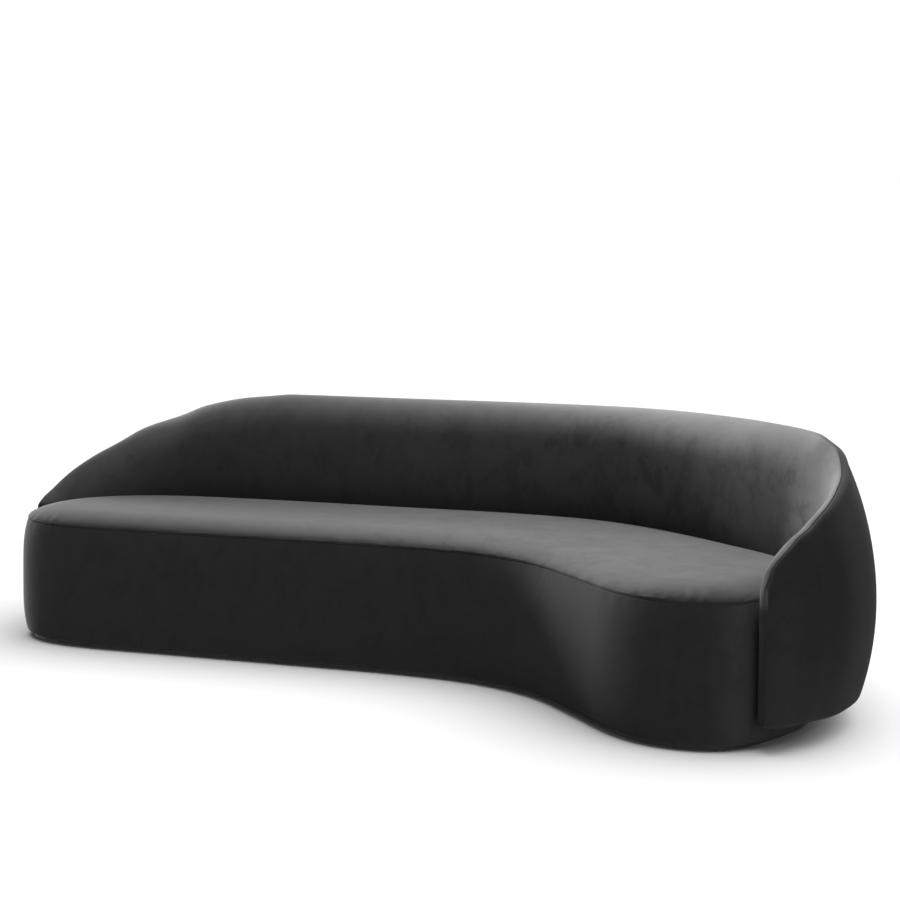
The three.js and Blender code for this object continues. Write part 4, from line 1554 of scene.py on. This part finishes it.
    def end_seams(self, places: np.ndarray) -> np.ndarray:
        """Where the seam up each arm's end passes.

        Args:
            places: A face's places, rows by stations by three.

        Returns:
            For each row, a place at the first end and one at the last.
        """
        faces = [self.placed_rows(rows) for rows in (self.inside_rows(), self.outside_rows()[::-1])]
        found = []
        for station in (0, -1):
            heights = places[:, station, 2]
            middle = np.zeros((len(heights), 2))
            for face in faces:
                end = face[:, station]
                end = end[np.argsort(end[:, 2], kind="stable")]
                for axis in (0, 1):
                    middle[:, axis] += np.interp(heights, end[:, 2], end[:, axis]) / 2
            found.append(np.column_stack([middle, heights]))
        return np.stack(found, 1)

    def cover(self, name: str, side: Side, node: str) -> bpy.types.Object:
        """One of the two velvet covers, with its edges rolled into the seams.

        Args:
            name: The piece's name.
            side: The face of the back that it covers.
            node: The solid that it stands for.

        Returns:
            The piece.
        """
        rows = self.inside_rows() if side is Side.INSIDE else self.outside_rows()
        places = self.placed_rows(rows)
        piece = Modeller.sheet(name, self.nose(places, self.end_seams(places)))
        Modeller.weld(piece)
        Modeller.away(piece, self.seam, side.value)
        Modeller.thicken(piece, self.cloth)
        # Each cover's colour factor is painted light and shade.
        if side is Side.INSIDE:
            Modeller.pile(piece, nap=self.inside_nap, brushed=self.leant_on)
        else:
            brushed = self.outside_brushed
            Modeller.pile(piece, nap=self.outside_nap, brushed=lambda at: np.full(len(at), brushed))
        return self.placed(piece, Slot.VELVET, node, fill=0.95)

    def inside_nap(self, places: np.ndarray) -> np.ndarray:
        """Painted light and shade on the inside: painted shade low down, and painted light over the
        top and on the right arm.

        Args:
            places: Places in space.

        Returns:
            The factor of painted light on the colour at each.
        """
        rise, bend = read_off(self.inside_nap_up, places[:, 2]), self.arm_bend(places)
        arm = read_off(self.arm_across, places[:, 0])
        light = rise * (1 - arm) + np.maximum(rise, 1.0) * self.arm_nap * arm
        bright = read_off(self.arm_nap_up, places[:, 2])
        return light * (1 - bend) + np.maximum(light, bright) * bend

    def arm_bend(self, places: np.ndarray) -> np.ndarray:
        """How far a place lies past the bend into the right arm, fading out towards its tip; this
        is where the arm's painted light goes.

        Args:
            places: Places in space.

        Returns:
            From 0 to 1 for each.
        """
        across, along, up = places.T
        start = self.arm_bend_place + self.arm_bend_lean * (up - self.arm_bend_level)
        past = np.clip((across - start) / self.arm_bend_run, 0, 1)
        return past**2 * (3 - 2 * past) * read_off(self.arm_along, along)

    def leant_on(self, places: np.ndarray) -> np.ndarray:
        """The inside's pile is most brushed in its right-hand curve, where people lean."""
        return read_off(self.brushed_across, places[:, 0]) * read_off(self.brushed_up, places[:, 2])

    def outside_nap(self, places: np.ndarray) -> np.ndarray:
        """Painted light and shade on the outside: painted shade on its round right side, and a
        painted highlight at the arm's nose.

        Args:
            places: Places in space.

        Returns:
            The factor of painted light on the colour at each.
        """
        across, along, up = places.T
        turned = 1 - read_off(self.outside_nap_across, across)
        turned = 1 - turned * read_off(self.turned_up, up)
        return read_off(self.outside_nap_up, up) * turned * read_off(self.nose_nap_along, along)

    def dust_cloth(self) -> bpy.types.Object:
        """The black cloth stapled over the back's underside.

        Returns:
            The piece.
        """
        room = self.depths - self.lifts
        near, far = (np.minimum(most, room * share) for most, share in self.dust_cloth_margins)
        inner = self.lifts + near
        outer = self.outer_reach(np.full_like(room, self.lift + self.outside_foot[-1])) - far
        rows = []
        for t in np.linspace(0, 1, self.dust_cloth_rows):
            height = self.lift + self.dust_cloth_lift - self.dust_cloth_sag * t * (1 - t)
            rows.append((inner * (1 - t) + outer * t, np.full_like(inner, height)))
        places = self.placed_rows(rows)[:, 8:-8:2]
        piece = Modeller.sheet("back_dust_cloth", places)
        Modeller.outward(piece, np.array([0, 0, -1.0]))
        area = sum(face.area for face in piece.data.polygons)
        length = float(lengths_along(places[self.dust_cloth_rows // 2])[-1])
        width = float(np.linalg.norm(places[0] - places[-1], axis=1).max())
        Modeller.finish(piece, "SOLIDIFY", thickness=self.dust_cloth_thickness, offset=-1.0)
        Modeller.smooth(piece)
        self.finishes.give(piece, Slot.DUST_CLOTH)
        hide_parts("back_dust_cover")
        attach(piece, "root")
        flat = (max(width, area / length), length)
        LOG.info("%s: %.2f by %.2f m, %.3f square metres", piece.name, *flat, area)
        return piece

    def tube(self, name: str, stations: slice, bottom: np.ndarray) -> bpy.types.Object:
        """A foam body between the two covers, up to the top seam.

        Args:
            name: The piece's name.
            stations: The stations that it spans.
            bottom: Its lowest height at every station.

        Returns:
            The piece.
        """
        deep, top = self.cloth + self.foam_slack, self.tops - self.foam_drop
        run = self.outer_reach(self.tops) - self.seam_width - self.lifts
        inner, outer = [], []
        for t in np.linspace(0, 1, self.foam_rows):
            height = bottom + (top - bottom) * math.sin(t * math.pi / 2)
            angle = np.arcsin(np.clip(1 - (self.tops - height) / self.rolls, 0, 1))
            near, far = self.lifts + run * (1 - np.cos(angle)), self.outer_reach(height)
            least = np.maximum(far - near, self.foam_least) * self.foam_share
            under = np.minimum(deep, least)
            inner.append((near + under, height))
            outer.append((far - under, height))
        loop = inner + outer[::-1] + inner[:1]
        piece = Modeller.sheet(name, self.placed_rows(loop)[:, stations])
        Modeller.weld(piece)
        Modeller.cap(piece)
        return piece

    def lining(self, name: str, side: Side, thickness: float) -> bpy.types.Object:
        """A foam layer behind one of the covers, over the timber frame.

        Args:
            name: The piece's name.
            side: The face of the back that it lies behind.
            thickness: How thick it is.

        Returns:
            The piece.
        """
        stations = slice(self.frame_stations[0], self.frame_stations[1] + 1, 2)
        rows = self.inside_rows()[3:] if side is Side.INSIDE else self.outside_rows()[7:-3]
        limit = (self.above(self.lining_share) - self.lining_drop)[stations]
        places = self.placed_rows(rows)[:, stations]
        piece = Modeller.sheet(name, places[(places[:, :, 2] < limit).all(1)])
        Modeller.away(piece, self.seam, side.value)
        inward = -(self.cloth + self.lining_slack)
        Modeller.finish(piece, "DISPLACE", strength=inward, mid_level=0.0)
        Modeller.finish(piece, "SOLIDIFY", thickness=thickness, offset=-1.0)
        return piece

    def above(self, share: float) -> np.ndarray:
        """The heights at a share of the way round the top edge's roll."""
        return self.tops - self.rolls * (1 - math.sin(share * math.pi / 2))

    def padding(self) -> list[bpy.types.Object]:
        """The foams inside the back: two linings, the top roll and the two arm ends.

        Returns:
            The pieces.
        """
        start, stop = self.frame_stations
        first = int(np.argmax(self.lengths > self.end_gap))
        last = int(np.argmax(self.lengths > self.lengths[-1] - self.end_gap))
        rail = self.above(self.rail_share) + self.rail_slack
        hem = np.full_like(self.tops, self.lift + self.foam_lift)
        inside = self.lining("back_inside_lining", Side.INSIDE, self.inside_foam)
        outside = self.lining("back_outside_lining", Side.OUTSIDE, self.outside_padding)
        foams = {
            "back_inside_foam": inside,
            "back_outside_padding": outside,
            "back_top_roll": self.tube("back_roll", slice(start, stop + 1, 2), rail),
            "right_arm_end_foam": self.tube("right_arm_foam", slice(first, start - 1), hem),
            "left_arm_end_foam": self.tube("left_arm_foam", slice(stop + 2, last), hem),
        }
        return [self.placed(foam, Slot.FOAM, node) for node, foam in foams.items()]


# Set


@dataclass(frozen=True)
class Lamp:
    """A soft lamp: a square softbox, or a distant and wide one where its side is zero.

    A strength of 1 lights a white surface that faces it to white.
    """

    name: str
    place: Three
    strength: float
    side: float = 1.0
    width: float = 50.0
    aim: Three = (0.0, 0.0, 0.4)

    def hang(self, floor: bpy.types.Collection) -> None:
        """Hangs the lamp and turns it to the sofa.

        Args:
            floor: The collection that says how the lamp treats the floor.
        """
        way = Vector(self.aim) - Vector(self.place)
        light = bpy.data.lights.new(self.name, "AREA" if self.side else "SUN")
        light.energy = self.strength * math.pi
        if self.side:
            light.shape, light.size = "SQUARE", self.side
            light.energy *= math.pi * way.length_squared
        else:
            light.angle = math.radians(self.width)
        lamp = bpy.data.objects.new(self.name, light)
        bpy.context.scene.collection.objects.link(lamp)
        lamp.location = self.place
        lamp.rotation_euler = way.to_track_quat("-Z", "Y").to_euler()
        lamp.light_linking.receiver_collection = floor


@dataclass
class Studio:
    """The pale floor, the soft lamps and the camera."""

    floor_size: float = 900.0
    floor_pale: float = 0.94
    floor_dark: float = 0.10
    floor_glow: float = 0.03
    surround: float = 0.01
    lamps: tuple[Lamp, ...] = (
        Lamp("left_rear_window", (-6.72, 4.20, 1.44), 1.42, 0.0, 34.0),
        Lamp("high_rear_window", (-1.93, 1.93, 7.92), 0.13, 0.0),
        Lamp("rear_fill", (0.0, 6.78, 4.64), 0.07, 0.0),
        Lamp("right_fill", (5.46, -5.46, 2.47), 0.07, 0.0),
        Lamp("overhead_softbox", (0.6, 0.9, 2.4), 0.37),
        Lamp("low_overhead_softbox", (0.6, 0.9, 1.5), 0.37),
    )
    floor_lamp: Lamp = Lamp("floor_dome", (2.2, 1.0, 8.0), 1.18, 0.0, 92.0)
    camera_place: Three = (2.1879, -5.6542, 1.4163)
    camera_turn: Three = (83.043, 0.0, 20.146)
    lens: float = 78.0
    sensor: float = 36.0
    farthest: float = 1000.0

    def build(self) -> None:
        """Makes the set."""
        floor = self.floor()
        self.world()
        for lamp in self.lamps:
            lamp.hang(self.treatment("sofa_only", floor, "EXCLUDE"))
        self.floor_lamp.hang(self.treatment("floor_only", floor, "INCLUDE"))
        self.camera()

    @staticmethod
    def treatment(name: str, floor: bpy.types.Object, state: str) -> bpy.types.Collection:
        """A collection by which a lamp leaves out the floor, or lights nothing else.

        Args:
            name: The collection's name.
            floor: The floor.
            state: EXCLUDE or INCLUDE.

        Returns:
            The collection.
        """
        found = bpy.data.collections.new(name)
        found.objects.link(floor)
        found.collection_objects[0].light_linking.link_state = state
        return found

    def floor(self) -> bpy.types.Object:
        """A floor that looks white but for the sofa's shadow, and throws little light back up.

        Returns:
            The floor.
        """
        bpy.ops.object.select_all(action="DESELECT")
        bpy.ops.mesh.primitive_plane_add(size=self.floor_size, location=(0, 0, 0))
        floor = bpy.context.object
        floor.name = "studio_floor"
        material = bpy.data.materials.new("studio_floor")
        material.use_nodes = True
        paint = Paint(material)
        shader = material.node_tree.nodes["Principled BSDF"]
        shader.inputs["Roughness"].default_value = 1.0
        shader.inputs["Specular IOR Level"].default_value = 0.0
        shader.inputs["Emission Color"].default_value = (1, 1, 1, 1)
        seen = self.seen(paint)
        dark, pale = ((grey, grey, grey) for grey in (self.floor_dark, self.floor_pale))
        paint.link(paint.mixed(seen, dark, pale), shader.inputs["Base Color"])
        glow = paint.calculated("MULTIPLY", seen, self.floor_glow)
        paint.link(glow, shader.inputs["Emission Strength"])
        floor.data.materials.append(material)
        return floor

    @staticmethod
    def seen(paint: Paint) -> bpy.types.NodeSocket:
        """One for rays from the camera and for what gloss and glass show of it, else zero.

        Args:
            paint: The node tree of the floor or of the surround.

        Returns:
            The value.
        """
        path = paint.node("ShaderNodeLightPath")
        total = path.outputs["Is Camera Ray"]
        for name in ("Is Glossy Ray", "Is Transmission Ray"):
            total = paint.calculated("MAXIMUM", total, path.outputs[name])
        return total

    def world(self) -> None:
        """A white surround to the camera, and a dim one to the sofa."""
        world = bpy.data.worlds.new("studio")
        bpy.context.scene.world = world
        world.use_nodes = True
        paint = Paint(world)
        world.node_tree.nodes.clear()
        output = paint.node("ShaderNodeOutputWorld")
        mix = paint.node("ShaderNodeMixShader")
        paint.link(self.seen(paint), mix.inputs[0])
        for socket, strength in zip(mix.inputs[1:], (self.surround, 1.0)):
            glow = paint.node("ShaderNodeBackground", Color=(1, 1, 1, 1), Strength=strength)
            paint.link(glow.outputs[0], socket)
        paint.link(mix.outputs[0], output.inputs["Surface"])

    def camera(self) -> None:
        """Sets the camera at the viewing place."""
        data = bpy.data.cameras.new("camera")
        data.lens, data.sensor_width = self.lens, self.sensor
        data.clip_end = self.farthest
        camera = bpy.data.objects.new("camera", data)
        bpy.context.scene.collection.objects.link(camera)
        camera.location = self.camera_place
        camera.rotation_euler = tuple(math.radians(a) for a in self.camera_turn)
        bpy.context.scene.camera = camera
        bpy.context.scene.view_settings.view_transform = "Standard"


def main() -> None:
    """Builds the sofa and its set, and reports each piece."""
    logging.basicConfig(level=logging.INFO, format="%(name)s: %(message)s")
    finishes = Finishes()
    seam = SeamLine()
    pieces = SeatBlock(seam, finishes).build() + Back(seam, finishes).build()
    Studio().build()
    LOG.info("%d new pieces", len(pieces))


if __name__ == "__main__":
    main()
